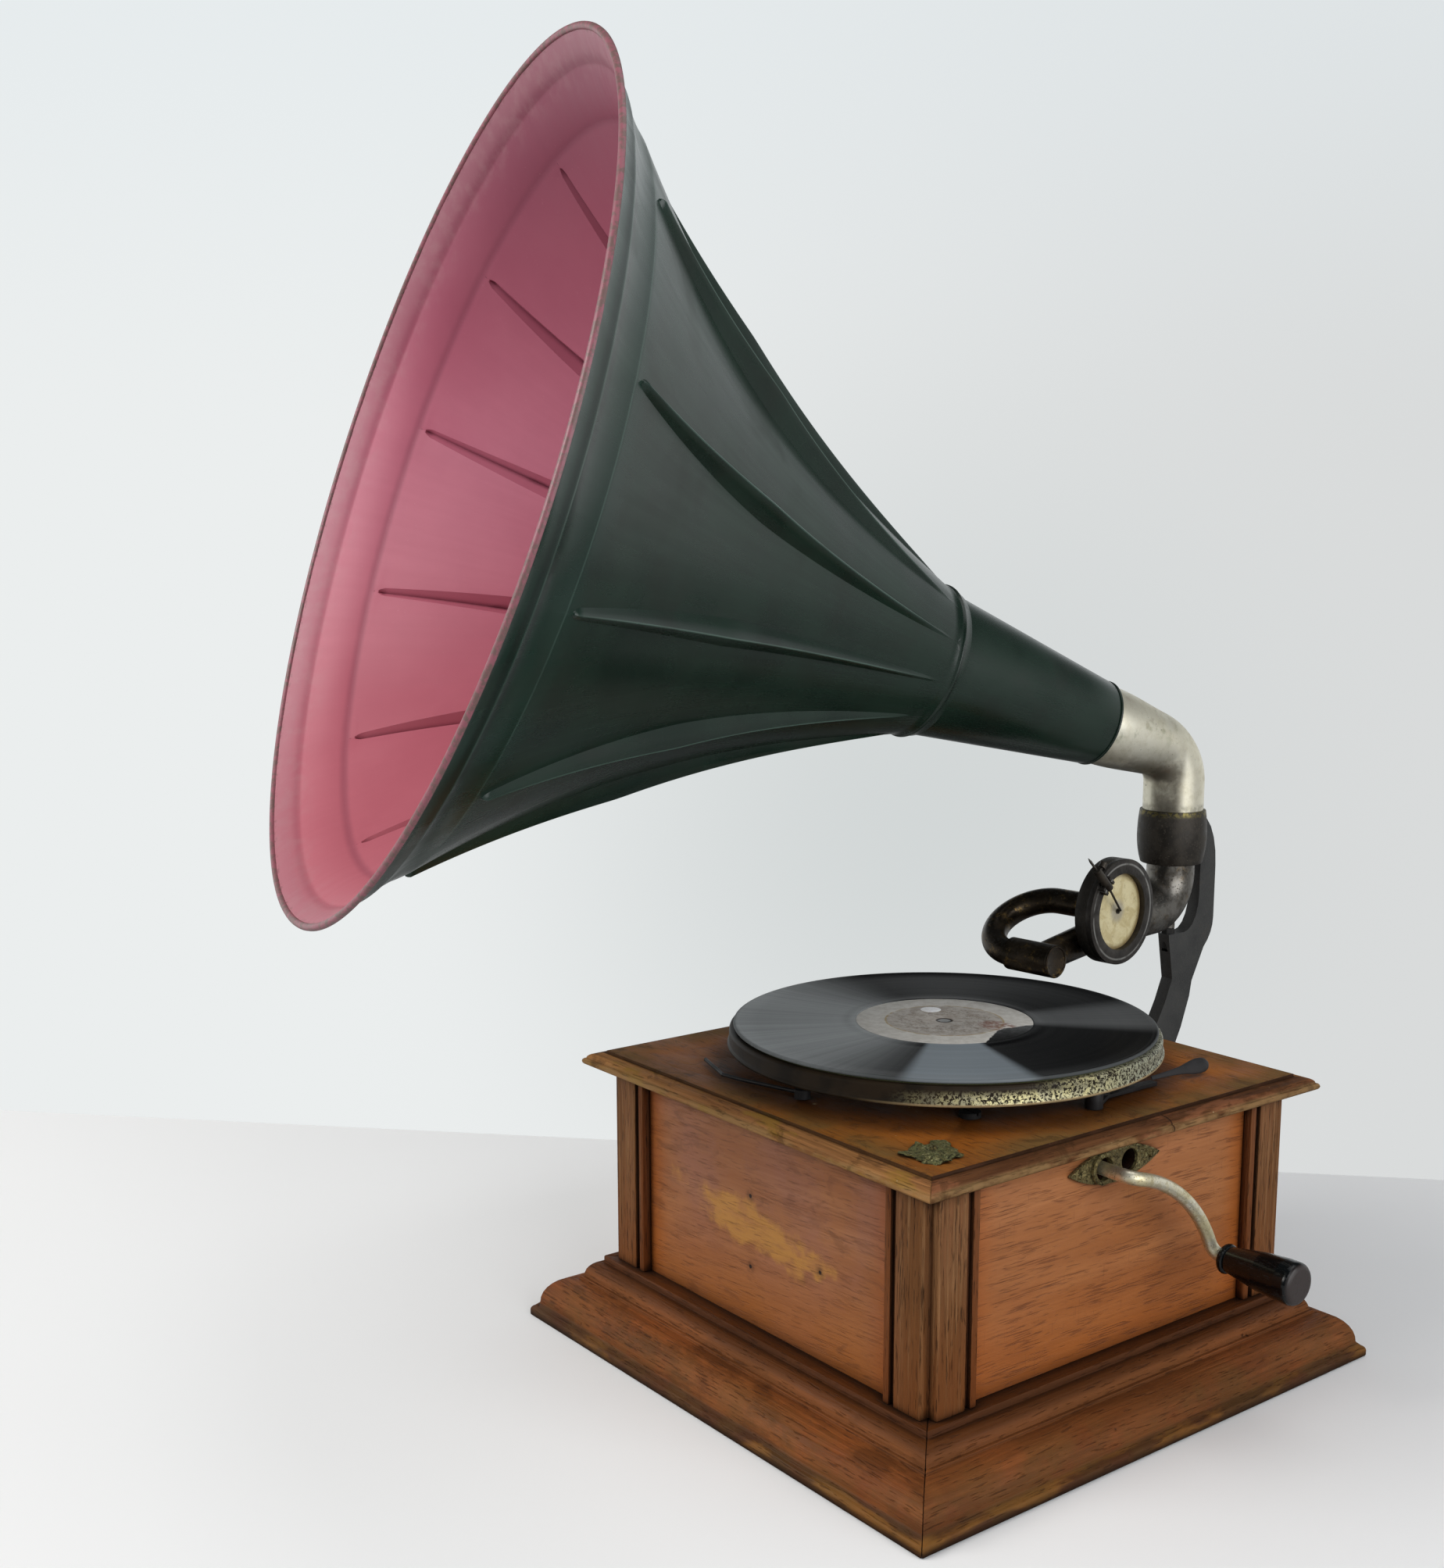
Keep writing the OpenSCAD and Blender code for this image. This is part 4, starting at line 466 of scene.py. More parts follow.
def panel_wood(name, level):
    """Panel finish; level is the number of the axis that the panel's grain runs along, 0 for X and 1 for Y."""
    finish = Finish(name)
    u = (finish.x, finish.y)[level]
    along = finish.moved(finish.join(u, finish.z, (finish.y, finish.x)[level]), turn=(0, 0, 1.0 if level else -3))
    figure, streaks, pores = wood(finish, along)
    across = finish.split(along)[1]
    rows = finish.noise(0.0038, 1, 0.5, finish.join(finish.x * 0.12, finish.y * 0.12, across)).above(0.57, 0.04)
    dashes = finish.noise(0.0007, 2, 0.5, along, (30, 1, 1)).above(0.54, 0.04) * rows
    haze = finish.noise(0.05, 5, 0.6).above(0.5, 0.14)
    if level:
        finish.ground(figure, "9d6032", "ab6e3f")
        finish.over(haze * 0.4, "9c5f38")
        finish.over(finish.z.above(0.125, 0.03) * 0.45, "b0754a")
        finish.over(finish.z.below(0.075, 0.035) * 0.6, "a5581e")
    else:
        finish.ground(figure, "99603a", "a97048")
        finish.over(haze * 0.5, "96675a")
        smears = finish.noise(0.012, 5, 0.7, along, (4, 1, 1), 0.8).above(0.57, 0.05)
        finish.over(smears * finish.noise(0.05, 2).above(0.45, 0.1) * 0.38, "6b4433")
        finish.over(finish.z.below(0.08, 0.03) * 0.75, "a2602b")
    border = abs(u).above(0.099, 0.012)
    finish.over(border * 0.7, "a8581c")
    finish.over(streaks * 0.28, "7a4522")
    finish.over(dashes * (0.56 if level else 0.2), "5a2f19")
    smudge = finish.noise(0.011, 5, 0.65, along, (2.5, 1, 1), 0.6).above(0.6, 0.06)
    finish.over(smudge * (0.08 if level else 0.35), "5f3a26")
    marks = 0.0
    if level == 0:
        front_side = finish.y.below(0, 0.01)
        reach = ((finish.x + 0.013) / 0.062) ** 2 + ((finish.z - 0.0985 + 0.11 * finish.x) / 0.0135) ** 2
        dappled = finish.noise(0.005, 5, 0.65, along, (4, 1, 1)).above(0.44, 0.13)
        ragged = (finish.noise(0.012, 5, 0.6) - 0.5) * 3.4 + (finish.noise(0.035, 2) - 0.5) * 2.4
        finish.over((reach + ragged).below(0.8, 0.5) * (0.35 + 0.45 * dappled) * front_side, "bd863f")
        for x, z in NAIL_HOLES:
            hole = span(finish.x - x, finish.z - z)
            stain = finish.noise(0.004, 3).above(0.4, 0.2) * hole.below(0.0032, 0.0022)
            marks = hole.below(0.0013, 0.0004).most(stain * 0.5).most(marks)
        finish.over(marks * front_side, "1f110a")
    else:
        for y, z in CRANK_HOLES:
            hole = span(finish.y - y, finish.z - z)
            marks = hole.below(0.0085, 0.0005).most(marks)
        finish.over(marks * finish.x.above(0, 0.01), "120a06")
        scratches = finish.noise(0.0009, 2, 0.5, finish.join(u, finish.z, 0.0), (1, 22, 1)).above(0.7, 0.03)
        finish.over(scratches * 0.4, "6b3d28")
    # Painted shade in corners and cracks, from ambient occlusion.
    corner_shade = finish.in_corners(0.012, 0.58, 0.38)
    finish.over(corner_shade * 0.65, "35180a")
    finish.over(pores * 0.4, "4f2b16")
    return finish.give(Roughness=0.4 + 0.12 * haze + 0.15 * dashes, gloss=0.28,
                       relief=(streaks * 0.4 - pores * 0.6 - dashes * 0.7, 0.00014))


side_panels = panel_wood("panel_wood_side", 1)
for side, finish in (("front", panel_wood("panel_wood_front", 0)), ("back", panel_wood("panel_wood_back", 0)),
                     ("left", side_panels), ("right", side_panels)):
    eased("board_" + side, "panel_" + side, "case", "panel_wood", finish, 0.0004)


# ---------------------------------------------------------------------------
# Spring motor: steel plates on turned pillars, brass wheels, a brass barrel
# and the governor, oiled and a little dull, all hung under the top board.
# ---------------------------------------------------------------------------
def coat(finish, *nodes):
    """Puts a finish on CAD nodes that keep their shape."""
    for node in nodes:
        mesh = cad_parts[node].data
        mesh.materials.clear()
        mesh.materials.append(finish)


def worn_metal(name, bright, dull, dark, rough=0.35, size=0.004, metallic=1.0):
    """Bare or plated metal with dull clouds, dark specks, and painted shade in its corners."""
    finish = Finish(name)
    cloud = finish.noise(size * 4, 5, 0.6).above(0.5, 0.14)
    speck = finish.noise(size * 0.35, 4, 0.65).above(0.63, 0.05)
    corner_shade = finish.in_corners(0.004, 0.55, 0.35)
    finish.ground(cloud, bright, dull)
    # Dark specks, and painted shade in the corners.
    finish.over((speck * 0.7).most(corner_shade * 0.8), dark)
    grimy = (speck * 0.6).most(corner_shade * 0.7)
    return finish.give(Roughness=rough + 0.14 * cloud + 0.25 * grimy, Metallic=metallic - 0.5 * grimy,
                       relief=(cloud * 0.4 - speck, 0.00006))


motor_steel = worn_metal("motor_steel", "a3a3a0", "7d7c78", "2e2a26")
gear_brass = worn_metal("gear_brass", "b79a55", "8f7438", "33281a")
coat(motor_steel, "motor_top_plate", "motor_bottom_plate", "motor_pillars", "winding_bearing", "winding_shaft",
     "barrel_arbor", "ratchet_wheel", "ratchet_pawl", "mainspring", "turntable_spindle", "governor_shaft",
     "governor_weights", "governor_bracket")
coat(gear_brass, "winding_wheel", "spring_barrel", "barrel_cover", "intermediate_arbor", "worm_wheel",
     "governor_disc")


# ---------------------------------------------------------------------------
# Top board: thick stained board with a cove, a rounded nose and a raised flat,
# its mitred edge strips worn, with screw heads that hold the motor under it.
# ---------------------------------------------------------------------------
FLAT_HALF, FLAT_TOP = 0.1436, 0.168
NOSE = (0.1632, 0.1674)  # heights between which its round edge is rubbed
SPLIT_Y = 0.0239
PALE_CHIP = (0.0173, -0.1136, 0.172)


def lid_wood():
    finish = Finish("lid_wood")
    along, side = mitred(finish)
    edge = abs(finish.x).most(abs(finish.y))
    flat = edge.below(FLAT_HALF, 0.0003)
    along = finish.either(flat, along, finish.moved(finish.place, turn=(0, 0, 1.5)))
    figure, streaks, pores = wood(finish, along)
    cloud = finish.noise(0.045, 5, 0.6).above(0.5, 0.13)
    top = finish.blend(figure, "8c4409", "a65e18")
    top = finish.blend(streaks * 0.5, top, "5c3717")
    top = finish.blend(edge.below(0.132, 0.012) * (0.3 + 0.4 * cloud), top, "ac6728")
    greyed = edge.above(0.126, 0.014) * (0.35 + 0.5 * cloud)
    top = finish.blend(greyed, top, "6d5631")
    front = finish.blend(figure, "9c6a40", "b5804c")
    flank = finish.blend(figure, "55331c", "6c4529")
    nose = finish.blend(side, front, flank)
    nose = finish.blend(streaks * 0.55, nose, "3b2213")
    worn = finish.noise(0.013, 5, 0.6, along, (3, 1, 1)).above(0.56, 0.06)
    nose = finish.blend(worn * 0.7, nose, finish.blend(side, "95712f", "8a573a"))
    finish.ground(flat, nose, top)
    wear = finish.noise(0.01, 4, place=along, stretch=(2, 1, 1)).above(0.46, 0.12)
    finish.over(wear * finish.z.between(*NOSE, 0.0012) * 0.45, "a98a5c")
    # Painted shade in the quirk round the raised flat.
    quirk = edge.between(FLAT_HALF, FLAT_HALF + 0.0016, 0.0005) * finish.z.above(FLAT_TOP, 0.001)
    split = abs(finish.y - SPLIT_Y - 0.1 * (finish.z - 0.16)).below(0.0005, 0.0003)
    split = split * finish.x.above(FLAT_HALF + 0.0009, 0.0005)
    # Painted shade in corners and cracks, from ambient occlusion, laid in one dark colour with the quirk and the real
    # split.
    corner_shade = finish.in_corners(0.008, 0.62, 0.32)
    finish.over((corner_shade * 0.85).most(quirk * 0.8).most(split * 0.8), "1f1209")
    stains = finish.noise(0.022, 5, 0.68, warp=1).above(0.6, 0.05)
    finish.over(stains * 0.45, "3f2a16")
    # Painted shadow of the platter on the board round its foot.
    platter_shadow = (span(finish.x, finish.y) + finish.noise(0.02, 3) * 0.008).below(0.142, 0.01) * flat
    finish.over(platter_shadow * 0.6, "23140a")
    chips = finish.spots(0.009).below(0.045, 0.02) * finish.noise(0.04, 2).above(0.56, 0.05)
    chips = chips.most(near_marks(finish, (PALE_CHIP,), 0.0011, 0.0005))
    finish.over(chips * 0.8, "c9b184")
    finish.over(pores * 0.5, "341f10")
    return finish.give(Roughness=0.42 + 0.15 * cloud + 0.15 * greyed, gloss=0.08,
                       relief=(streaks * 0.6 - pores - chips - split - stains * 0.5, 0.00026))


eased("lid", "top_board", "case", "dark_wood", lid_wood(), 0.0005)
black_iron = worn_metal("black_iron", "1f1d1b", "171513", "0c0b0a", rough=0.6, metallic=0.3)
coat(black_iron, "motor_bolts", "support_bolts", "arm_pivot_screw", "brake_screw")


# ---------------------------------------------------------------------------
# Brass plates: the lozenge screwed to the board's corner, green with age, and
# the cast escutcheon with its raised ring round the crank.
# ---------------------------------------------------------------------------
def old_brass(name, bright, dull, green, share):
    finish = Finish(name)
    cloud = finish.noise(0.006, 5, 0.65).above(0.5, 0.12)
    crust = finish.noise(0.003, 5, 0.7, warp=0.6).above(1 - share, 0.1)
    rubbed = finish.noise(0.0016, 4, 0.7, warp=1).above(0.57, 0.04)
    pits = finish.noise(0.0014, 3, 0.6, warp=0.8).below(0.42, 0.05)
    corner_shade = finish.in_corners(0.003, 0.6, 0.3)
    finish.ground(cloud, bright, dull)
    finish.over(crust * 0.8, green)
    finish.over(rubbed * 0.6, "c5bd86")
    # Dark pits, and painted shade in the corners.
    finish.over((pits * 0.75).most(corner_shade * 0.8), "1b160d")
    return finish.give(Metallic=0.9 - 0.7 * crust - 0.2 * corner_shade,
                       Roughness=0.36 + 0.3 * crust + 0.1 * cloud - 0.1 * rubbed,
                       relief=(crust + 0.4 * cloud + rubbed - pits, 0.0004))


plate_brass = old_brass("plate_brass", "8f8352", "6e6338", "5d6238", 0.56)
screen_brass = old_brass("escutcheon_brass", "93855a", "6f623e", "56532f", 0.40)


CASTING = (0.036, 0.025, 0.0042)  # length, width and height of its swell


def cast_corner():
    """The corner piece: a thin casting with a swollen middle and a ragged, corroded outline."""
    low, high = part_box("corner_plate")
    middle = (low + high) / 2
    clear_selection()
    bpy.ops.mesh.primitive_uv_sphere_add(segments=72, ring_count=28, radius=0.5)
    open_mesh()
    bpy.ops.transform.resize(value=CASTING, center_override=(0, 0, 0))
    piece = close_mesh()
    for size, strength in ((0.009, 0.017), (0.0032, 0.0036)):
        ragged = bpy.data.textures.new("ragged", "CLOUDS")
        ragged.noise_scale, ragged.noise_depth = size, 1
        ragged.cloud_type = "COLOR"
        wave = piece.modifiers.new("ragged", "DISPLACE")
        wave.texture, wave.strength, wave.mid_level, wave.direction = ragged, strength, 0.5, "RGB_TO_XYZ"
        select_only(piece)
        bpy.ops.object.modifier_apply(modifier="ragged")
    open_mesh()
    bpy.ops.transform.resize(value=(1, 1, 0.42), center_override=(0, 0, 0))
    bpy.ops.transform.rotate(value=radians(45), orient_axis="Z", center_override=(0, 0, 0))
    bpy.ops.transform.translate(value=(middle.x, middle.y, low.z + 0.0007))
    bpy.ops.mesh.bisect(plane_co=(0, 0, low.z), plane_no=(0, 0, 1), use_fill=True, clear_inner=True)
    return close_mesh(50)


declare(cast_corner(), "corner_ornament", "case", "brass", plate_brass, "corner_plate")
eased("crank_plate", "crank_escutcheon", "case", "brass", screen_brass, 0.0005)
coat(screen_brass, "brass_screws")


# ---------------------------------------------------------------------------
# Crank: a bent nickel-plated rod, its plating worn to brass and dirt, with a
# turned and polished black grip that spins on the rod's pin.
# ---------------------------------------------------------------------------
def crank_nickel():
    finish = Finish("crank_nickel")
    cloud = finish.noise(0.012, 5, 0.6).above(0.5, 0.14)
    wear = finish.noise(0.0045, 5, 0.7, warp=0.8).above(0.55, 0.06)
    speck = finish.noise(0.0012, 3, 0.6).above(0.66, 0.04)
    finish.ground(cloud, "f6f0da", "e0d5ae")
    finish.over(wear * 0.45, "a08f5a")
    finish.over(speck * 0.8, "2d2618")
    return finish.give(Metallic=0.9 - 0.4 * speck, Roughness=0.38 + 0.1 * cloud + 0.12 * wear,
                       relief=(wear * 0.6 + speck, 0.00005))


coat(crank_nickel(), "crank_arm")


GRIP_END = 0.2165


def grip_black():
    finish = Finish("grip_black")
    scuff = finish.noise(0.002, 5, 0.7, stretch=(4, 1, 1)).above(0.6, 0.08)
    end = finish.x.above(GRIP_END, 0.0012)
    finish.ground(scuff * 0.35, "040709", "181b1e")
    finish.over(end * 0.5, "4a3f3c")
    return finish.give(Roughness=0.2 + 0.25 * scuff + 0.2 * end, gloss=0.4)


coat(grip_black(), "crank_grip")


# ---------------------------------------------------------------------------
# Turntable and record: a spun steel disc whose plated rim has flaked, a felt
# mat, and a shellac disc with a paper label, pressed grooves and a rounded edge.
# ---------------------------------------------------------------------------
RIM_LOW, RIM_TALL = 0.1842, 0.0092


def platter_metal():
    finish = Finish("platter_metal")
    across = way(finish, *TO_THE_RIGHT)
    toward = way(finish, *TO_THE_CAMERA).above(-0.06, 0.05)
    flakes = finish.noise(0.0016, 4, 0.7, warp=0.5)
    height = (finish.z - RIM_LOW) / RIM_TALL
    reach = (across.above(-0.012, 0.03) * toward + across.above(0.075, 0.02)).least(1)
    pale = flakes.above(0.488, 0.02) * reach * height.below(0.68, 0.3).most(across.above(0.06, 0.03))
    tint = finish.blend(finish.noise(0.006, 3).above(0.5, 0.1), "d8cf9c", "b9b391")
    tint = finish.blend(across.above(0.085, 0.02), tint, "a3a48d")
    finish.ground(finish.noise(0.02, 3).above(0.5, 0.12), "1d160e", "2b2115")
    finish.over(pale, tint)
    lip = finish.z.below(RIM_LOW + 0.0009, 0.0005) * across.above(-0.035, 0.03)
    finish.over(lip * 0.85, "b7a078")
    return finish.give(Metallic=0.4 * pale, Roughness=0.5 - 0.12 * pale, gloss=0.15, relief=(pale, 0.0001))


def mat_felt():
    finish = Finish("mat_felt")
    fluff = finish.noise(0.0006, 4, 0.7)
    finish.ground(finish.noise(0.02, 3), "2f3a22", "4a4a2c")
    finish.over(fluff.above(0.55, 0.1) * 0.5, "6a6647")
    return finish.give(Roughness=0.95, relief=(fluff, 0.0003))


eased("turntable_disc", "platter", "turntable", "platter_metal", platter_metal(), 0.0003)
coat(mat_felt(), "platter_felt")


def draw_rings(profile, sides):
    """Rings drawn out of a circle along a profile of (radius, height), as in turning; left in edit mode."""
    clear_selection()
    radius, height = profile[0]
    bpy.ops.mesh.primitive_circle_add(vertices=sides, radius=radius, location=(0, 0, height))
    bpy.ops.object.transform_apply(location=True)
    open_mesh()
    for new_radius, new_height in profile[1:]:
        bpy.ops.mesh.extrude_edges_move(TRANSFORM_OT_translate={"value": (0, 0, new_height - height)})
        wider = new_radius / radius
        bpy.ops.transform.resize(value=(wider, wider, 1), center_override=(0, 0, new_height))
        radius, height = new_radius, new_height
    return bpy.context.object


def fill_ends():
    """Closes the open rings of the piece in edit mode."""
    bpy.ops.mesh.select_all(action="DESELECT")
    bpy.ops.mesh.select_non_manifold()
    bpy.ops.mesh.edge_face_add()


def close_rings(angle=35, gap=0.000003):
    """Merges a closed profile's seam, turns the faces outwards and smooths the piece."""
    bpy.ops.mesh.select_all(action="SELECT")
    bpy.ops.mesh.remove_doubles(threshold=gap)
    bpy.ops.mesh.normals_make_consistent(inside=False)
    return close_mesh(angle)


def set_at(piece, place):
    """Moves a finished piece by a matrix, and keeps the place in its mesh."""
    select_only(piece)
    piece.matrix_world = place
    bpy.ops.object.transform_apply(location=True, rotation=True, scale=True)
    return piece


def arc(centre, radius, first, last, count):
    """Points of an arc in a profile, from the first to the last angle in degrees."""
    angles = [radians(first + (last - first) * i / count) for i in range(count + 1)]
    return [(centre[0] + radius * cos(a), centre[1] + radius * sin(a)) for a in angles]


RECORD_R, LABEL_R, BORE_R = 0.125, 0.0525, 0.00366
LABEL_STEP, LABEL_HOLE, EDGE_ROLL = 0.0004, 0.0041, 0.001
GROOVES = (0.0575, RECORD_R - 0.0036)
INNER_FIELD, PRINT, GOLD_RING = 0.0345, (0.012, 0.029), (0.0342, 0.0354)  # on the label
DOT_AT, DOT_R = (-0.0237, 0.0111), 0.0062
record_low, record_top = (corner.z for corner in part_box("record"))


def shellac():
    finish = Finish("record_shellac")
    radius, turn = span(finish.x, finish.y), finish.angle(finish.y, finish.x) * (180 / pi)
    ring = finish.join(radius, 0.0, 0.0)
    groove = finish.noise(0.0011, 3, 0.6, ring)
    bands = finish.noise(0.006, 2, 0.5, ring).above(0.5, 0.15)
    played = radius.between(GROOVES[0] - 0.0003, GROOVES[1] - 0.0002, 0.0006)
    finish.ground(bands, "0b0b0c", "131314")
    # Painted reflections: three fans of light across the grooves.
    streaky = 0.75 + 0.5 * (finish.noise(0.004, 3, 0.6, finish.join(turn * 0.003, radius * 0.02, 0.0)) - 0.5)
    front_reflection_fan = (way(finish, 0.799, -0.602) / radius).above(0.958, 0.013)
    left_reflection_fan = (way(finish, -0.574, -0.819) / radius).above(0.62, 0.36)
    right_reflection_fan = (way(finish, 0.53, 0.848) / radius).above(0.965, 0.03)
    finish.over(left_reflection_fan * streaky * 0.95, "b6baba")
    finish.over(right_reflection_fan * streaky * 0.55, "8d8f8f")
    finish.over(front_reflection_fan * (0.8 + 0.1 * bands), "8b949a")
    # Painted highlight round the rounded edge.
    finish.over(radius.above(RECORD_R - 0.0012, 0.0004) * 0.5, "6b6e6e")
    dust = finish.noise(0.0009, 3, 0.6).above(0.68, 0.03)
    finish.over(dust * 0.25, "6f6f6f")
    return finish.give(Roughness=0.3 + 0.08 * played + 0.06 * bands, Anisotropic=0.7, gloss=0.012,
                       relief=(groove * played, 0.00004))


def label_paper():
    finish = Finish("record_label")
    radius = span(finish.x, finish.y)
    mottle = finish.noise(0.006, 5, 0.65).above(0.5, 0.12)
    fibres = finish.noise(0.0012, 4, 0.7).above(0.5, 0.15)
    finish.ground(mottle, "d6d2ca", "c6c1b8")
    finish.over(radius.below(INNER_FIELD, 0.001) * (0.5 + 0.3 * mottle), "95877a")
    finish.over(fibres * 0.3, "cac5bc")
    ring = radius.between(*GOLD_RING, 0.0004) * finish.noise(0.006, 3).above(0.42, 0.1)
    finish.over(ring * 0.7, "a58a4c")
    printed = radius.between(*PRINT, 0.002) * finish.noise(0.0016, 4, 0.6).above(0.56, 0.04)
    finish.over(printed * 0.4, "4b3d31")
    torn = ((finish.x - 0.028) / 0.012) ** 2 + ((finish.y - 0.016) / 0.009) ** 2
    red = torn.below(1, 0.5) * finish.noise(0.003, 4, 0.7).above(0.45, 0.1)
    finish.over(red * 0.75, "83503f")
    ragged = finish.noise(0.004, 4, 0.6) * 0.005 - 0.0025
    slant = (0.011 - finish.y).most(0) * 0.6 + (finish.y - 0.011).most(0) * 0.2
    chip = (finish.x - 0.0346 - slant + ragged).above(0, 0.0003)
    finish.over(chip, "0b0a0a")
    finish.over(radius.below(0.0052, 0.0004), "3b2d22")
    return finish.give(Roughness=0.5 + 0.15 * mottle - 0.2 * chip, gloss=0.18,
                       relief=(fibres * 0.3 + red - chip * 2, 0.00008))


def pressed_record():
    """Turns the disc: bore, label step, run-out, playing surface and a raised rounded edge."""
    low, top, edge, step = record_low, record_top, RECORD_R - EDGE_ROLL, LABEL_R + LABEL_STEP
    first, last = GROOVES
    profile = [(BORE_R, low), (0.060, low), (edge, low)] + arc((edge, low + EDGE_ROLL), EDGE_ROLL, -70, 90, 6)
    profile += [(RECORD_R - 0.0028, top), (last, top - 0.00025)]
    profile += [(radius, top - 0.0003) for radius in (0.110, 0.090, 0.070, 0.062, first)]
    profile += [(radius, top - 0.00012) for radius in (first - 0.0005, 0.0545, step)]
    profile += [(step, top - LABEL_STEP), (BORE_R + 0.0004, top - LABEL_STEP), (BORE_R, top - 0.0008), (BORE_R, low)]
    draw_rings(profile, 160)
    return close_rings(25)


declare(pressed_record(), "record_disc", "turntable", "shellac", shellac(), "record")


def paper_disc(name, centre, radius, low, thick, finish, hole=0.0):
    """A thin paper disc with a softened edge, flat on the record."""
    edge, top = low + thick * 0.6, low + thick
    profile = [(radius, low), (radius, edge), (radius - thick, top)]
    if hole:
        draw_rings([(hole, low)] + profile + [(hole + thick, top), (hole, edge), (hole, low)], 96)
    else:
        draw_rings(profile + [(radius * 0.4, top), (radius * 0.02, top)], 40)
        fill_ends()
    declare(set_at(close_rings(), Matrix.Translation((*centre, 0))), name, "turntable", "shellac", finish)


paper_disc("label", (0, 0), LABEL_R - 0.0002, record_top - LABEL_STEP, 0.0002, label_paper(), hole=LABEL_HOLE)


def sticker_paper():
    finish = Finish("sticker_paper")
    smudge = finish.noise(0.003, 4, 0.6).above(0.55, 0.1)
    finish.ground(smudge * 0.4, "ffffff", "dcd9d2")
    return finish.give(Roughness=0.6, relief=(smudge, 0.00003))


paper_disc("dealer_dot", DOT_AT, DOT_R, record_top - 0.0002, 0.00012, sticker_paper())


# ---------------------------------------------------------------------------
# Levers on the board: the brake's pressed steel paddle, japanned black, and
# the bent wire of the speed control with its leather pad on the governor.
# ---------------------------------------------------------------------------
lever_black = worn_metal("lever_black", "1b1a1b", "272526", "0e0d0d", rough=0.45, metallic=0.2)
BAR_END = 0.062
LEAF_FOOT, LEAF_FLATNESS = (0.1115, 0.056, 0.1778), 0.24
BRAKE_LEAF = ((0.0012, 0.0), (0.0014, 0.008), (0.0017, 0.016), (0.0022, 0.024), (0.0031, 0.030), (0.0041, 0.0355),
              (0.0046, 0.0405), (0.0043, 0.0452), (0.0033, 0.0482), (0.0016, 0.0499), (0.0003, 0.0505))


def brake_with_leaf():
    """The brake's flat bar, cut off past the platter, and its finger leaf twisted up on edge."""
    leaf = draw_rings(BRAKE_LEAF, 24)
    fill_ends()
    bpy.ops.mesh.select_all(action="SELECT")
    bpy.ops.transform.resize(value=(LEAF_FLATNESS, 1, 1), center_override=(0, 0, 0))
    bpy.ops.transform.rotate(value=radians(90), orient_axis="X", center_override=(0, 0, 0))
    bpy.ops.transform.rotate(value=radians(28), orient_axis="Y", center_override=(0, 0, 0))
    bpy.ops.transform.translate(value=LEAF_FOOT)
    close_rings(60)
    open_mesh(eased("brake", "brake_lever", "brake", "lever_black", lever_black, 0.0004))
    bpy.ops.mesh.bisect(plane_co=(0, BAR_END, 0), plane_no=(0, 1, 0), use_fill=True, clear_outer=True)
    close_mesh()
    declare(leaf, "brake_leaf", "brake", "lever_black", lever_black)


brake_with_leaf()
coat(lever_black, "speed_lever")


def pad_leather():
    finish = Finish("pad_leather")
    cells = finish.spots(0.0006)
    finish.ground(finish.noise(0.002, 4).above(0.5, 0.15), "5a3d24", "3b2718")
    return finish.give(Roughness=0.8, relief=(cells, 0.0002))


coat(pad_leather(), "speed_pad")


# ---------------------------------------------------------------------------
# Horn support: a flat cast-iron arm, painted black, bolted to the case's back,
# and the dark turned collar that it carries.
# ---------------------------------------------------------------------------
def cast_iron():
    finish = Finish("cast_iron")
    sand = finish.noise(0.0012, 4, 0.7)
    cloud = finish.noise(0.02, 4).above(0.5, 0.15)
    finish.ground(cloud, "2a2a29", "363634")
    finish.over(sand.above(0.62, 0.06) * 0.3, "55504a")
    rust = finish.noise(0.01, 5, 0.7).above(0.64, 0.05)
    finish.over(rust * 0.3, "40352b")
    return finish.give(Metallic=0.15, Roughness=0.5 + 0.12 * cloud, relief=(sand, 0.0002))


COLLAR_LIP = 0.3038


def collar_dark():
    finish = Finish("collar_dark")
    cloud = finish.noise(0.008, 5, 0.65).above(0.5, 0.14)
    rub = finish.noise(0.003, 5, 0.7, warp=0.5).above(0.5, 0.08) * finish.z.above(COLLAR_LIP, 0.0012)
    finish.ground(cloud, "2b2722", "3c3730")
    finish.over(rub * 0.7, "7d7345")
    speck = finish.noise(0.0016, 4, 0.6).above(0.64, 0.05)
    finish.over(speck * 0.5, "5c5548")
    return finish.give(Metallic=0.55 + 0.4 * rub, Roughness=0.42 + 0.14 * cloud - 0.1 * rub,
                       relief=(cloud * 0.5 + speck, 0.0001))


eased("support", "arm_support", "case", "cast_iron", cast_iron(), 0.0014, steps=3)
eased("collar", "horn_collar", "case", "collar_metal", collar_dark(), 0.0006)


# ---------------------------------------------------------------------------
# Tone arm and gooseneck: tapered and bent brass tubes, nickelled once and now
# dark bronze brown, the bend at the back rubbed to grey metal.
# ---------------------------------------------------------------------------
BARE_FROM = 0.158  # behind it the arm's bend is rubbed to grey


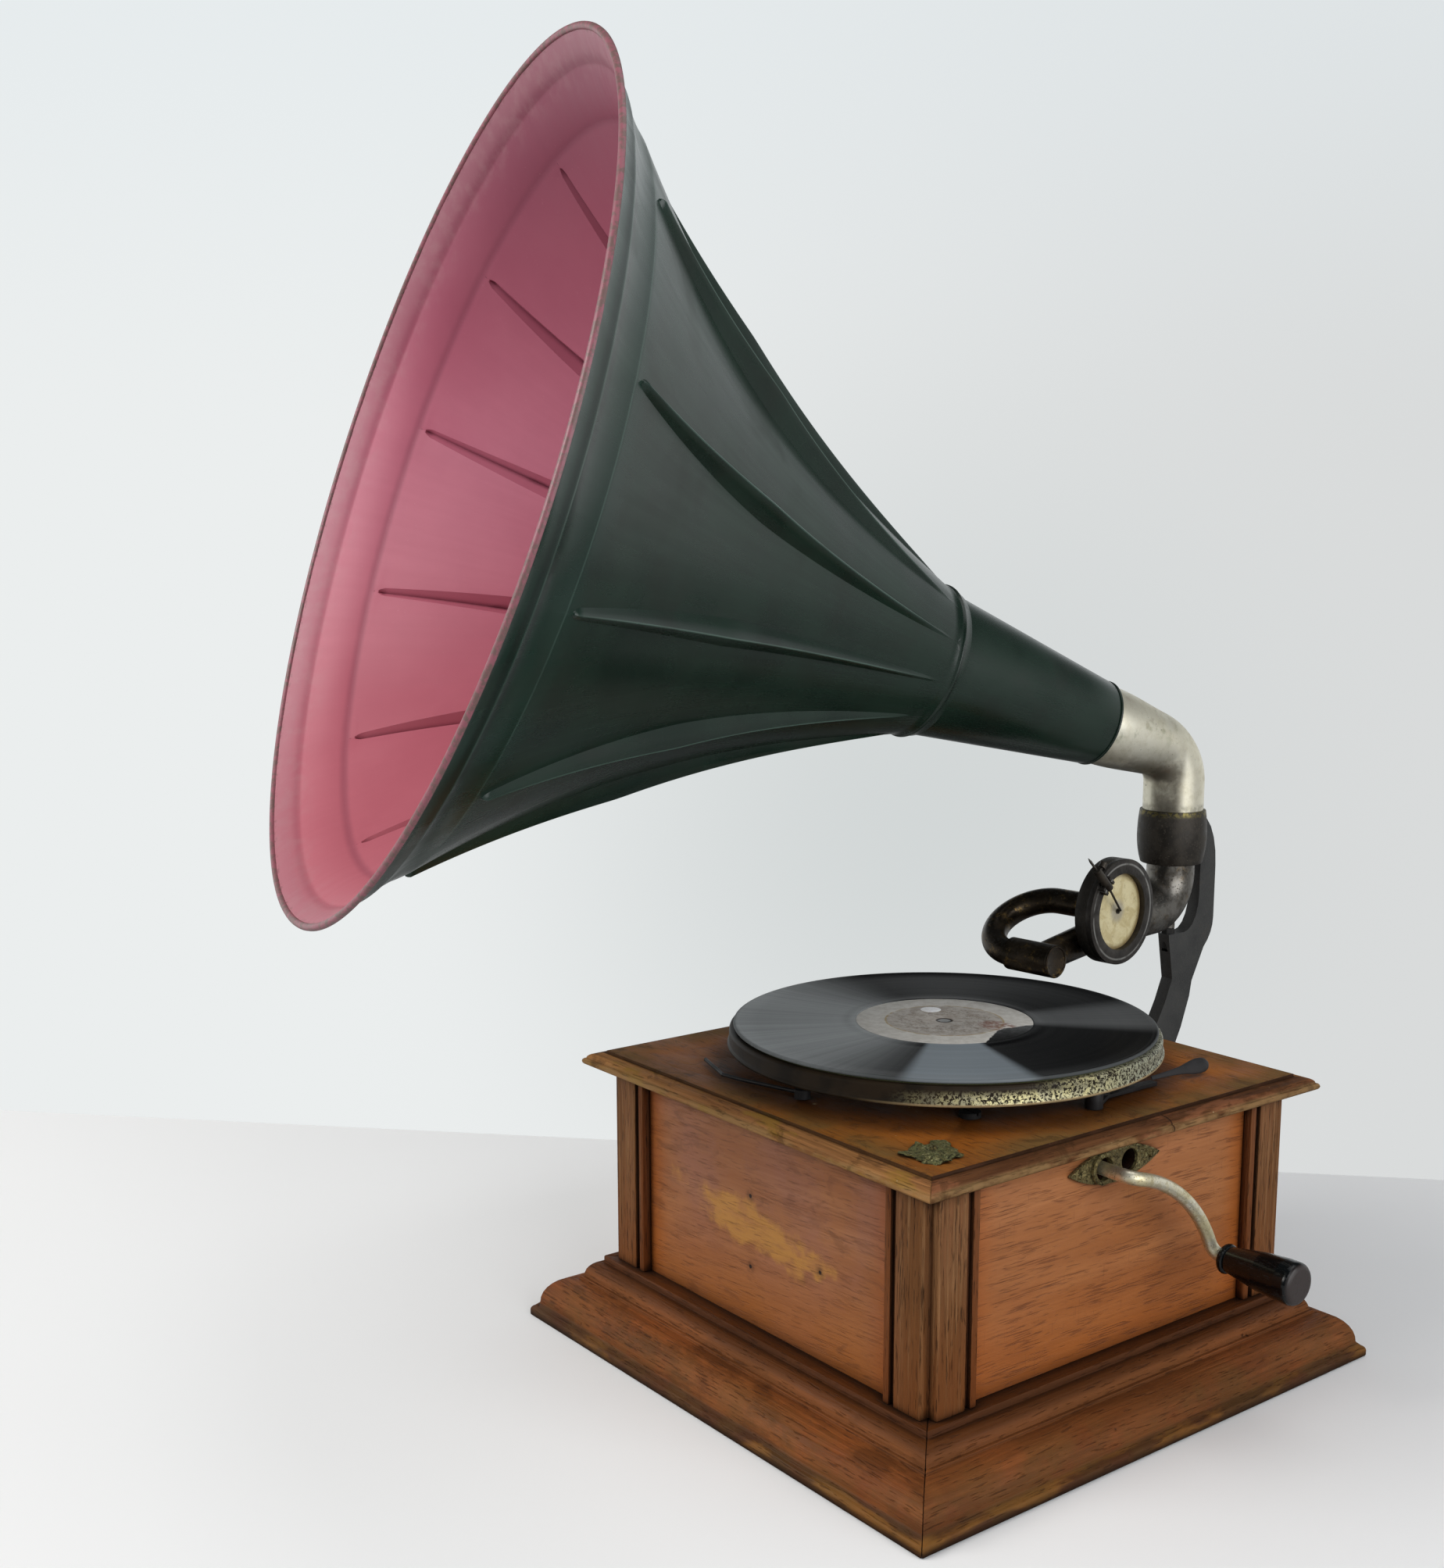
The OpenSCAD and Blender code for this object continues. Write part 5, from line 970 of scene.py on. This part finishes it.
def arm_bronze():
    finish = Finish("arm_bronze")
    cloud = finish.noise(0.014, 5, 0.6).above(0.5, 0.13)
    speck = finish.noise(0.0016, 4, 0.65).above(0.62, 0.05)
    at_bend = finish.y.above(BARE_FROM, 0.014)
    mottle = finish.noise(0.009, 5, 0.65).above(0.56, 0.12)
    bare = at_bend * (1 - mottle * 0.75)
    rubbed = finish.noise(0.006, 4, 0.7).above(0.6, 0.07)
    finish.ground(cloud, "2d261d", "40362a")
    finish.over(rubbed * 0.6, "7a6238")
    finish.over(bare * 0.85, "7c7973")
    finish.over(speck * 0.5, "17130f")
    return finish.give(Metallic=0.85 + 0.1 * bare, Roughness=0.29 + 0.12 * cloud + 0.12 * speck,
                       relief=(cloud * 0.4 - speck, 0.00009))


bronze = arm_bronze()
coat(bronze, "tone_arm", "gooseneck")
eased("arm_cap", "arm_end_cap", "arm", "arm_bronze", bronze, 0.0005)


# ---------------------------------------------------------------------------
# Sound box: a dark cast shell and screwed ring round a mica diaphragm, with
# the stylus bar between two lugs and a needle held by a thumbscrew.
# ---------------------------------------------------------------------------
box_iron = worn_metal("sound_box_dark", "3c3833", "2c2925", "151310", rough=0.4, metallic=0.7)
BOX_MIDDLE = sum(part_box("diaphragm"), Vector()) / 2
RING_BORE, RING_EDGE, MICA_EDGE = 0.0232, (0.0292, 0.0302), 0.0215  # from that middle


def ring_dark():
    """Dark plating, rubbed bright on the ring's outer edge, with a painted highlight there too, and brown next to the
    mica.
    """
    finish = Finish("sound_box_ring_dark")
    cloud = finish.noise(0.008, 5, 0.6).above(0.5, 0.14)
    away = finish.away(BOX_MIDDLE)
    finish.ground(cloud, "3f3b37", "2f2c29")
    finish.over(away.below(RING_BORE, 0.0008) * 0.8, "4a3520")
    # Painted highlight on the ring's outer edge, where the plating is also rubbed bright.
    rubbed = away.between(*RING_EDGE, 0.0004) * finish.noise(0.01, 3).above(0.4, 0.12)
    finish.over(rubbed * 0.55, "b4b3ae")
    return finish.give(Metallic=0.7, Roughness=0.4 + 0.12 * cloud - 0.1 * rubbed, relief=(cloud, 0.00008))


ring_iron = ring_dark()
eased("sound_box", "sound_box_shell", "reproducer", "arm_bronze", box_iron, 0.0006)
eased("sound_box_face", "sound_box_ring", "reproducer", "arm_bronze", ring_iron, 0.0005)


def mica_sheet():
    finish = Finish("mica_sheet")
    sheets = finish.noise(0.01, 5, 0.6, warp=1.2).above(0.5, 0.12)
    stain = finish.noise(0.004, 4, 0.7).above(0.62, 0.06)
    away = finish.away(BOX_MIDDLE)
    finish.ground(sheets, "d3c79c", "bdae80")
    finish.over(stain * 0.5, "9a8c66")
    finish.over(away.below(0.0065, 0.0025) * 0.7, "8f8a7f")
    finish.over(away.above(MICA_EDGE, 0.0018) * 0.8, "6f5a35")
    return finish.give(Roughness=0.25 + 0.15 * sheets, relief=(sheets, 0.00005))


coat(mica_sheet(), "diaphragm")
needle_steel = worn_metal("needle_steel", "6f6c66", "4c4843", "1b1917", rough=0.36, size=0.002)
bar_steel = worn_metal("stylus_steel", "34302b", "4a443c", "171512", rough=0.4, size=0.002, metallic=0.8)
coat(needle_steel, "needle")
coat(bar_steel, "stylus_bar", "needle_screw")


# ---------------------------------------------------------------------------
# Horn elbow: cast and nickel-plated, turning in the collar, its plating
# yellowed and pitted.
# ---------------------------------------------------------------------------
HORN_CORNER = Vector((0, 0.201, 0.3444))  # where the collar's axis meets the horn's
HORN_TURN, HORN_RISE = radians(14), radians(18.3)
ELBOW_REACH, ELBOW_SPARE, ELBOW_WALL = 0.065, 0.009, 0.0018
ELBOW_SMALL, ELBOW_BIG = 0.0195, 0.0254
BEND_R, BEND_LEG, BEND_TURN = 0.028, 0.02023, radians(71.7)
EVEN_END = 0.011  # the width no longer grows in the last of it


def elbow_nickel():
    finish = Finish("elbow_nickel")
    cloud = finish.noise(0.035, 4, 0.5).above(0.5, 0.2)
    haze = finish.noise(0.007, 5, 0.7).above(0.56, 0.14)
    pits = finish.spots(0.005).below(0.1, 0.05) * finish.noise(0.016, 3).above(0.58, 0.05)
    fine = finish.noise(0.0011, 3, 0.6).above(0.7, 0.04)
    finish.ground(cloud, "eeead8", "dfd9c3")
    finish.over(haze * 0.35, "b0a685")
    rust = finish.noise(0.01, 4, 0.6).above(0.6, 0.06) * finish.z.above(0.36, 0.01)
    finish.over(rust * 0.25, "9a7454")
    green = finish.z.between(0.352, 0.366, 0.008) * finish.noise(0.01, 4).above(0.58, 0.06)
    finish.over(green * 0.35, "7f8a5e")
    foot = finish.z.below(0.311, 0.0015) * finish.noise(0.004, 4).above(0.45, 0.1)
    # Painted dark reflection down the front of the tube below the bend, mottled with real tarnish.
    down_front = (finish.x * 0.438 - (finish.y - HORN_CORNER.y) * 0.898).above(0.0172, 0.0018)
    down_front = down_front * finish.z.below(0.344, 0.014)
    reflection_and_tarnish = down_front * finish.noise(0.012, 4, 0.6).above(0.3, 0.25)
    finish.over(reflection_and_tarnish * 0.82, "4b4338")
    finish.over(pits.most(fine * 0.5).most(foot * 0.3), "2e2a20")
    return finish.give(Metallic=0.72 - 0.3 * pits, Roughness=0.33 + 0.06 * cloud + 0.08 * haze,
                       relief=(haze * 0.2 - pits - fine * 0.5, 0.00005))


def give_wall(piece, thickness, lining=0):
    """The metal's thickness, added inwards; lining is the number of the finish inside and on the edge."""
    select_only(piece)
    wall = piece.modifiers.new("wall", "SOLIDIFY")
    wall.thickness, wall.offset = thickness, -1
    wall.material_offset = wall.material_offset_rim = lining
    bpy.ops.object.modifier_apply(modifier="wall")


def bent_elbow():
    """A ring drawn up, round the bend and out to the horn, widening as it leaves the bend, then given its wall."""
    low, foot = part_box("horn_elbow")[0].z, HORN_CORNER.z - BEND_LEG
    out = ELBOW_REACH - BEND_LEG + ELBOW_SPARE
    piece = draw_rings([(ELBOW_SMALL, low), (ELBOW_SMALL, low + 0.006), (ELBOW_SMALL, foot)], 96)
    bend_steps, cone_steps, radius, travelled = 24, 14, ELBOW_SMALL, 0.0
    stretch = BEND_R * BEND_TURN + out - EVEN_END
    for step in range(1, bend_steps + cone_steps + 1):
        bpy.ops.mesh.extrude_edges_move(TRANSFORM_OT_translate={"value": (0, 0, 0)})
        if step <= bend_steps:
            turn, stride, beyond = BEND_TURN / bend_steps, BEND_R * BEND_TURN / bend_steps, 0.0
            bpy.ops.transform.rotate(value=-turn, orient_axis="X", center_override=(0, -BEND_R, foot))
            angle = turn * step
        else:
            stride = out / cone_steps
            bpy.ops.transform.translate(value=(0, -sin(BEND_TURN) * stride, cos(BEND_TURN) * stride))
            angle, beyond = BEND_TURN, stride * (step - bend_steps)
        travelled += stride
        middle = (0, -BEND_R * (1 - cos(angle)) - sin(BEND_TURN) * beyond,
                  foot + BEND_R * sin(angle) + cos(BEND_TURN) * beyond)
        share = min(max(travelled / stretch - 0.2, 0) / 0.8, 1)
        wider = ELBOW_SMALL + (ELBOW_BIG - ELBOW_SMALL) * share * share * (3 - 2 * share)
        bpy.ops.transform.resize(value=[wider / radius] * 3, center_override=middle)
        radius = wider
    give_wall(close_rings(None), ELBOW_WALL)
    set_at(piece, Matrix.Translation((0, HORN_CORNER.y, 0)) @ Matrix.Rotation(-HORN_TURN, 4, "Z"))
    bpy.ops.object.shade_smooth_by_angle(angle=radians(40))
    return piece


declare(bent_elbow(), "elbow", "horn", "elbow_nickel", elbow_nickel(), "horn_elbow")


# ---------------------------------------------------------------------------
# Horn: a sheet-iron cone and a spun bell with twelve pressed ribs, two swaged
# rings and a rolled edge, japanned dark green outside and rose inside.
# ---------------------------------------------------------------------------
HORN_FRAME = (Matrix.Translation(HORN_CORNER) @ Matrix.Rotation(-HORN_TURN, 4, "Z")
              @ Matrix.Rotation(pi / 2 - HORN_RISE, 4, "X"))
NECK_LEN, HORN_LEN = 0.136, 0.447  # both from the elbow's end
NECK_SMALL, NECK_BIG, MOUTH = 0.0268, 0.045, 0.240
NECK_SLOPE = (NECK_BIG - NECK_SMALL) / NECK_LEN
NECK_ROLL, SLEEVE, BEAD = 0.0009, 0.008, 0.0009  # the bell's sleeve on the neck has a bead pressed in it
SHEET, RIM_WIRE = 0.0012, 0.002
RIBS, RIB_HEIGHT, RIB_HALF = 12, 0.0112, 0.0074
RIB_FIRST, RIB_LAST = 0.146, 0.411
SWAGES = ((0.4150, 0.4345, 0.0013), (0.4345, 0.4462, 0.0008))  # from, to and height
BELL_SIDES = 240
# How the sides of one twelfth make a rib: each column of it, counted from the crest, its place across the
# rib in half widths, and its share of the height. The outermost four take their place in degrees.
RIB_SECTION = ((-4, -1.08, 0.0), (-3, -1.0, 0.0), (-2, -0.56, 0.5), (-1, -0.12, 0.95), (0, 0.0, 1.0),
               (1, 0.12, 0.95), (2, 0.56, 0.5), (3, 1.0, 0.0), (4, 1.08, 0.0),
               (-5, -5.6, 0.0), (5, 5.6, 0.0), (-6, -8.2, 0.0), (6, 8.2, 0.0))


def horn_axis_place(finish):
    """Radius and distance along the horn's axis, and the angle round it, from Object coordinates."""
    back = HORN_FRAME.inverted()
    rows = [way(finish, *row[:3]) + row[3] for row in back[:3]]
    return span(rows[0], rows[1]), rows[2], finish.angle(rows[1], rows[0])


# Bands by their place along the horn's axis: painted highlights on the swaged ridges, painted shade in the hollows,
# and the seam.
RIDGES, HOLLOWS, SEAM = ((0.4795, 0.4803), (0.4989, 0.4997)), ((0.4955, 0.4985), (0.5002, 0.5040)), (0.1968, 0.1978)


def horn_green():
    finish = Finish("horn_green")
    radius, out, turn = horn_axis_place(finish)
    cloud = finish.noise(0.07, 5, 0.55).above(0.5, 0.16)
    drawn = finish.noise(0.012, 4, 0.6, finish.join(turn * 0.4, out * 0.15, 0.0)).above(0.5, 0.2)
    finish.ground(cloud, "13231b", "1a2d23")
    finish.over(drawn * 0.25, "0b130f")
    # Painted highlights on the swaged ridges, and painted shade in the hollows beside them.
    ridge_highlights = out.between(*RIDGES[0], 0.0004).most(out.between(*RIDGES[1], 0.0004))
    hollow_shade = out.between(*HOLLOWS[0], 0.0012).most(out.between(*HOLLOWS[1], 0.0014))
    finish.over(radius.above(0.2, 0.006) * 0.35, "16342b")
    finish.over(hollow_shade * 0.6, "081410")
    # Painted highlight along each rib's crest.
    lap = finish.node("Math", {"operation": "FRACT"}, {0: turn * (6 / pi) + 12})
    crest = (abs(lap - 0.5) * radius).below(0.00095, 0.0004) * out.between(0.24, 0.462, 0.03)
    finish.over((ridge_highlights * 0.3).most(crest * 0.55), "50675d")
    seam = out.between(*SEAM, 0.0004)
    finish.over(seam * 0.7, "060a08")
    fine = finish.noise(0.0011, 3, 0.6).above(0.68, 0.04)
    finish.over(fine * 0.22, "3c4842")
    dull = finish.noise(0.04, 3, 0.5, warp=0.5).above(0.62, 0.1)
    finish.over(dull * 0.3, "161a13")
    rolled = out.above(ELBOW_REACH + HORN_LEN - 0.0008, 0.0006)
    rubbed = finish.noise(0.004, 4, 0.7).above(0.5, 0.08)
    finish.over(rolled, finish.blend(rubbed, "8f5560", "6f5552"))
    return finish.give(Roughness=0.22 + 0.06 * cloud + 0.05 * drawn + 0.06 * dull + 0.15 * rolled, gloss=0.46,
                       relief=(finish.noise(0.05, 1), 0.0005))


def horn_rose():
    finish = Finish("horn_rose")
    radius, out, turn = horn_axis_place(finish)
    cloud = finish.noise(0.09, 5, 0.55).above(0.5, 0.18)
    drawn = finish.noise(0.012, 4, 0.6, finish.join(turn * 0.4, out * 0.12, 0.0)).above(0.5, 0.25)
    finish.ground(cloud, "ab546a", "b66175")
    lit = finish.z.between(0.44, 0.6, 0.09) * radius.below(0.195, 0.05)
    finish.over(lit * 0.4, "cf8fa3")
    # Painted shade: darker towards the top of the inside.
    finish.over(finish.z.above(0.62, 0.11) * 0.9, "72384a")
    finish.over(drawn * 0.1, "954c5e")
    finish.over(finish.z.below(0.42, 0.14) * 0.5, "b26468")
    lip = radius.above(0.2265, 0.004)
    finish.over(lip * 0.45, "a0707a")
    # Painted shade in the two swaged creases.
    crease = radius.between(0.2035, 0.2062, 0.0012).most(radius.between(0.2248, 0.2268, 0.0014) * 0.6)
    finish.over(crease * 0.35, "6e3345")
    # Painted shade deep in the throat.
    finish.over(radius.below(0.075, 0.035) * 0.6, "6a3040")
    chalky = finish.noise(0.011, 4, 0.6).above(0.55, 0.14) * radius.above(0.22, 0.008)
    finish.over(chalky * 0.18, "a9898a")
    worn = finish.noise(0.003, 5, 0.7).above(0.58, 0.05) * radius.above(0.2348, 0.001)
    finish.over(worn * 0.6, "6f4a4c")
    scratches = finish.noise(0.0009, 2, 0.5, finish.join(turn * 0.17, out * 0.02, radius)).above(0.74, 0.02)
    finish.over(scratches * 0.2, "c99aa2")
    # Painted shade in corners, from ambient occlusion.
    corner_shade = finish.in_corners(0.004, 0.55, 0.35)
    finish.over(corner_shade * 0.75, "4a1424")
    return finish.give(Roughness=0.4 + 0.08 * cloud + 0.05 * drawn, gloss=0.28,
                       relief=(finish.noise(0.05, 1), 0.0004))


green_paint, rose_paint = horn_green(), horn_rose()


def horn_neck_cone():
    """Cone with a rolled edge at the elbow, its wall closed inside."""
    start, end, wall = ELBOW_REACH, ELBOW_REACH + NECK_LEN, SHEET * 1.01
    roll = arc((NECK_SMALL - 0.0002, start + NECK_ROLL), NECK_ROLL, -60, 90, 7)
    outside = [(NECK_SMALL + NECK_SLOPE * along, start + along)
               for along in (0.0034, 0.03, 0.06, 0.09, 0.115, NECK_LEN)]
    inside = [(NECK_BIG - wall, end), (NECK_SMALL + NECK_SLOPE * 0.07 - wall, start + 0.07),
              (NECK_SMALL + NECK_SLOPE * 0.001 - wall, start + 0.0002)]
    draw_rings(roll + outside + inside + [roll[0]], 96)
    return set_at(close_rings(40), HORN_FRAME)


declare(horn_neck_cone(), "neck_cone", "horn", "horn_paint", green_paint, "horn_neck")


def bell_radius(distance):
    """Outer radius of the plain bell at a distance from the elbow's end."""
    share = (distance - NECK_LEN) / (HORN_LEN - NECK_LEN)
    small, big = NECK_BIG + SHEET, MOUTH - RIM_WIRE
    return small + (big - small) * (0.56 * share + 0.44 * max(share, 0) ** 2.6)


def swage(distance):
    """How far the two pressed rings push the sheet in towards the air, in metres."""
    for first, last, height in SWAGES:
        if first < distance < last:
            return height * sin(pi * (distance - first) / (last - first)) ** 0.8
    return 0.0


def rib_swell(share):
    """Size of a rib from its long point at the neck, 0, through its widest place to its blunt end by the mouth, 1."""
    share = min(max(share, 0), 1)
    taper = min(share / 0.6, 1) ** 0.85
    fall = 1 - 0.7 * max(0, (share - 0.6) / 0.4) ** 1.4
    return taper * fall * min(1, (1 - share) / 0.012) ** 0.6


def bell_sheet():
    """One twelfth of the bell, drawn as rings, with its rib pressed in, and copied round the axis."""
    def point(distance):
        lean = atan2(bell_radius(distance + 0.0005) - bell_radius(distance - 0.0005), 0.001)
        push = swage(distance)
        return bell_radius(distance) - push * cos(lean), ELBOW_REACH + distance + push * sin(lean)

    def nearest(vertex):
        gaps = [abs(level - vertex.co.z) + abs(radius - vertex.co.xy.length) for radius, level in profile]
        return gaps.index(min(gaps))

    def turned(vertex):
        return atan2(vertex.co.y, vertex.co.x)

    joint, over = ELBOW_REACH + NECK_LEN, NECK_BIG + SHEET
    sleeve = [(over + 0.0001 - NECK_SLOPE * SLEEVE, joint - SLEEVE), (over + 0.0004, joint - 0.0038)]
    sleeve += [(over + 0.0005 + BEAD * sin(pi * i / 6), joint - 0.0036 + 0.0004 * i) for i in range(1, 6)]
    sleeve += [(over + 0.0006, joint - 0.001), (over + 0.0009, joint + 0.0004)]
    # Rings along the sheet, closer together where the ribs end and where it is pressed.
    stations = [NECK_LEN + 0.002, NECK_LEN + 0.006]
    stations += [RIB_FIRST + (RIB_LAST - RIB_FIRST) * i / 46 for i in range(46)] + [0.4075, 0.409, 0.4102, RIB_LAST]
    stations += [0.413, 0.4145, 0.4155, 0.4168, 0.4185, 0.4205, 0.423, 0.4255, 0.428, 0.4302, 0.432, 0.4334,
                 0.4343, 0.4351, 0.4361, 0.4375, 0.439, 0.4405, 0.442, 0.4435, 0.445, 0.4462]
    wire = arc((MOUTH - RIM_WIRE, ELBOW_REACH + HORN_LEN), RIM_WIRE, -20, 235, 10)
    profile = sleeve + [point(d) for d in stations] + wire
    sheet = draw_rings(profile, BELL_SIDES)
    mesh = bmesh.from_edit_mesh(sheet.data)
    for vertex in mesh.verts:
        vertex.select_set(not -0.001 <= degrees(turned(vertex)) <= 360 / RIBS + 0.001)
    mesh.select_flush(False)
    bmesh.update_edit_mesh(sheet.data)
    bpy.ops.mesh.select_mode(type="VERT")
    bpy.ops.mesh.delete(type="VERT")
    bpy.ops.mesh.select_all(action="DESELECT")
    mesh = bmesh.from_edit_mesh(sheet.data)
    rows = {}
    for vertex in mesh.verts:
        rows.setdefault(nearest(vertex), []).append(vertex)
    columns = {key: [vertex.index for vertex in sorted(row, key=turned)] for key, row in rows.items()}
    crest, side = BELL_SIDES // RIBS // 2, 360 / BELL_SIDES
    for index, distance in enumerate(stations, len(sleeve)):
        radius, level = profile[index]
        swell = rib_swell((distance - RIB_FIRST) / (RIB_LAST - RIB_FIRST))
        half, height = degrees(RIB_HALF / radius) * (0.12 + 0.88 * swell), RIB_HEIGHT * swell
        for column, offset, lift in RIB_SECTION:
            mesh = bmesh.from_edit_mesh(sheet.data)
            mesh.verts.ensure_lookup_table()
            mesh.verts[columns[index][crest + column]].select_set(True)
            at = offset * half if abs(column) < 5 else offset
            bpy.ops.transform.rotate(value=-radians(at - side * column), orient_axis="Z", center_override=(0, 0, 0))
            if lift:
                grow = (radius + lift * height) / radius
                bpy.ops.transform.resize(value=(grow, grow, 1), center_override=(0, 0, level))
            bpy.ops.mesh.select_all(action="DESELECT")
    bpy.ops.mesh.select_all(action="SELECT")
    bpy.ops.mesh.spin(steps=RIBS - 1, dupli=True, angle=2 * pi * (RIBS - 1) / RIBS, center=(0, 0, 0), axis=(0, 0, 1))
    return close_rings(None, 0.00001)


bell = bell_sheet()
bell.data.materials.append(green_paint)
bell.data.materials.append(rose_paint)
give_wall(bell, SHEET, lining=1)
bpy.ops.object.shade_smooth_by_angle(angle=radians(27))
declare(set_at(bell, HORN_FRAME), "bell", "horn", "horn_paint", None, "horn_bell")
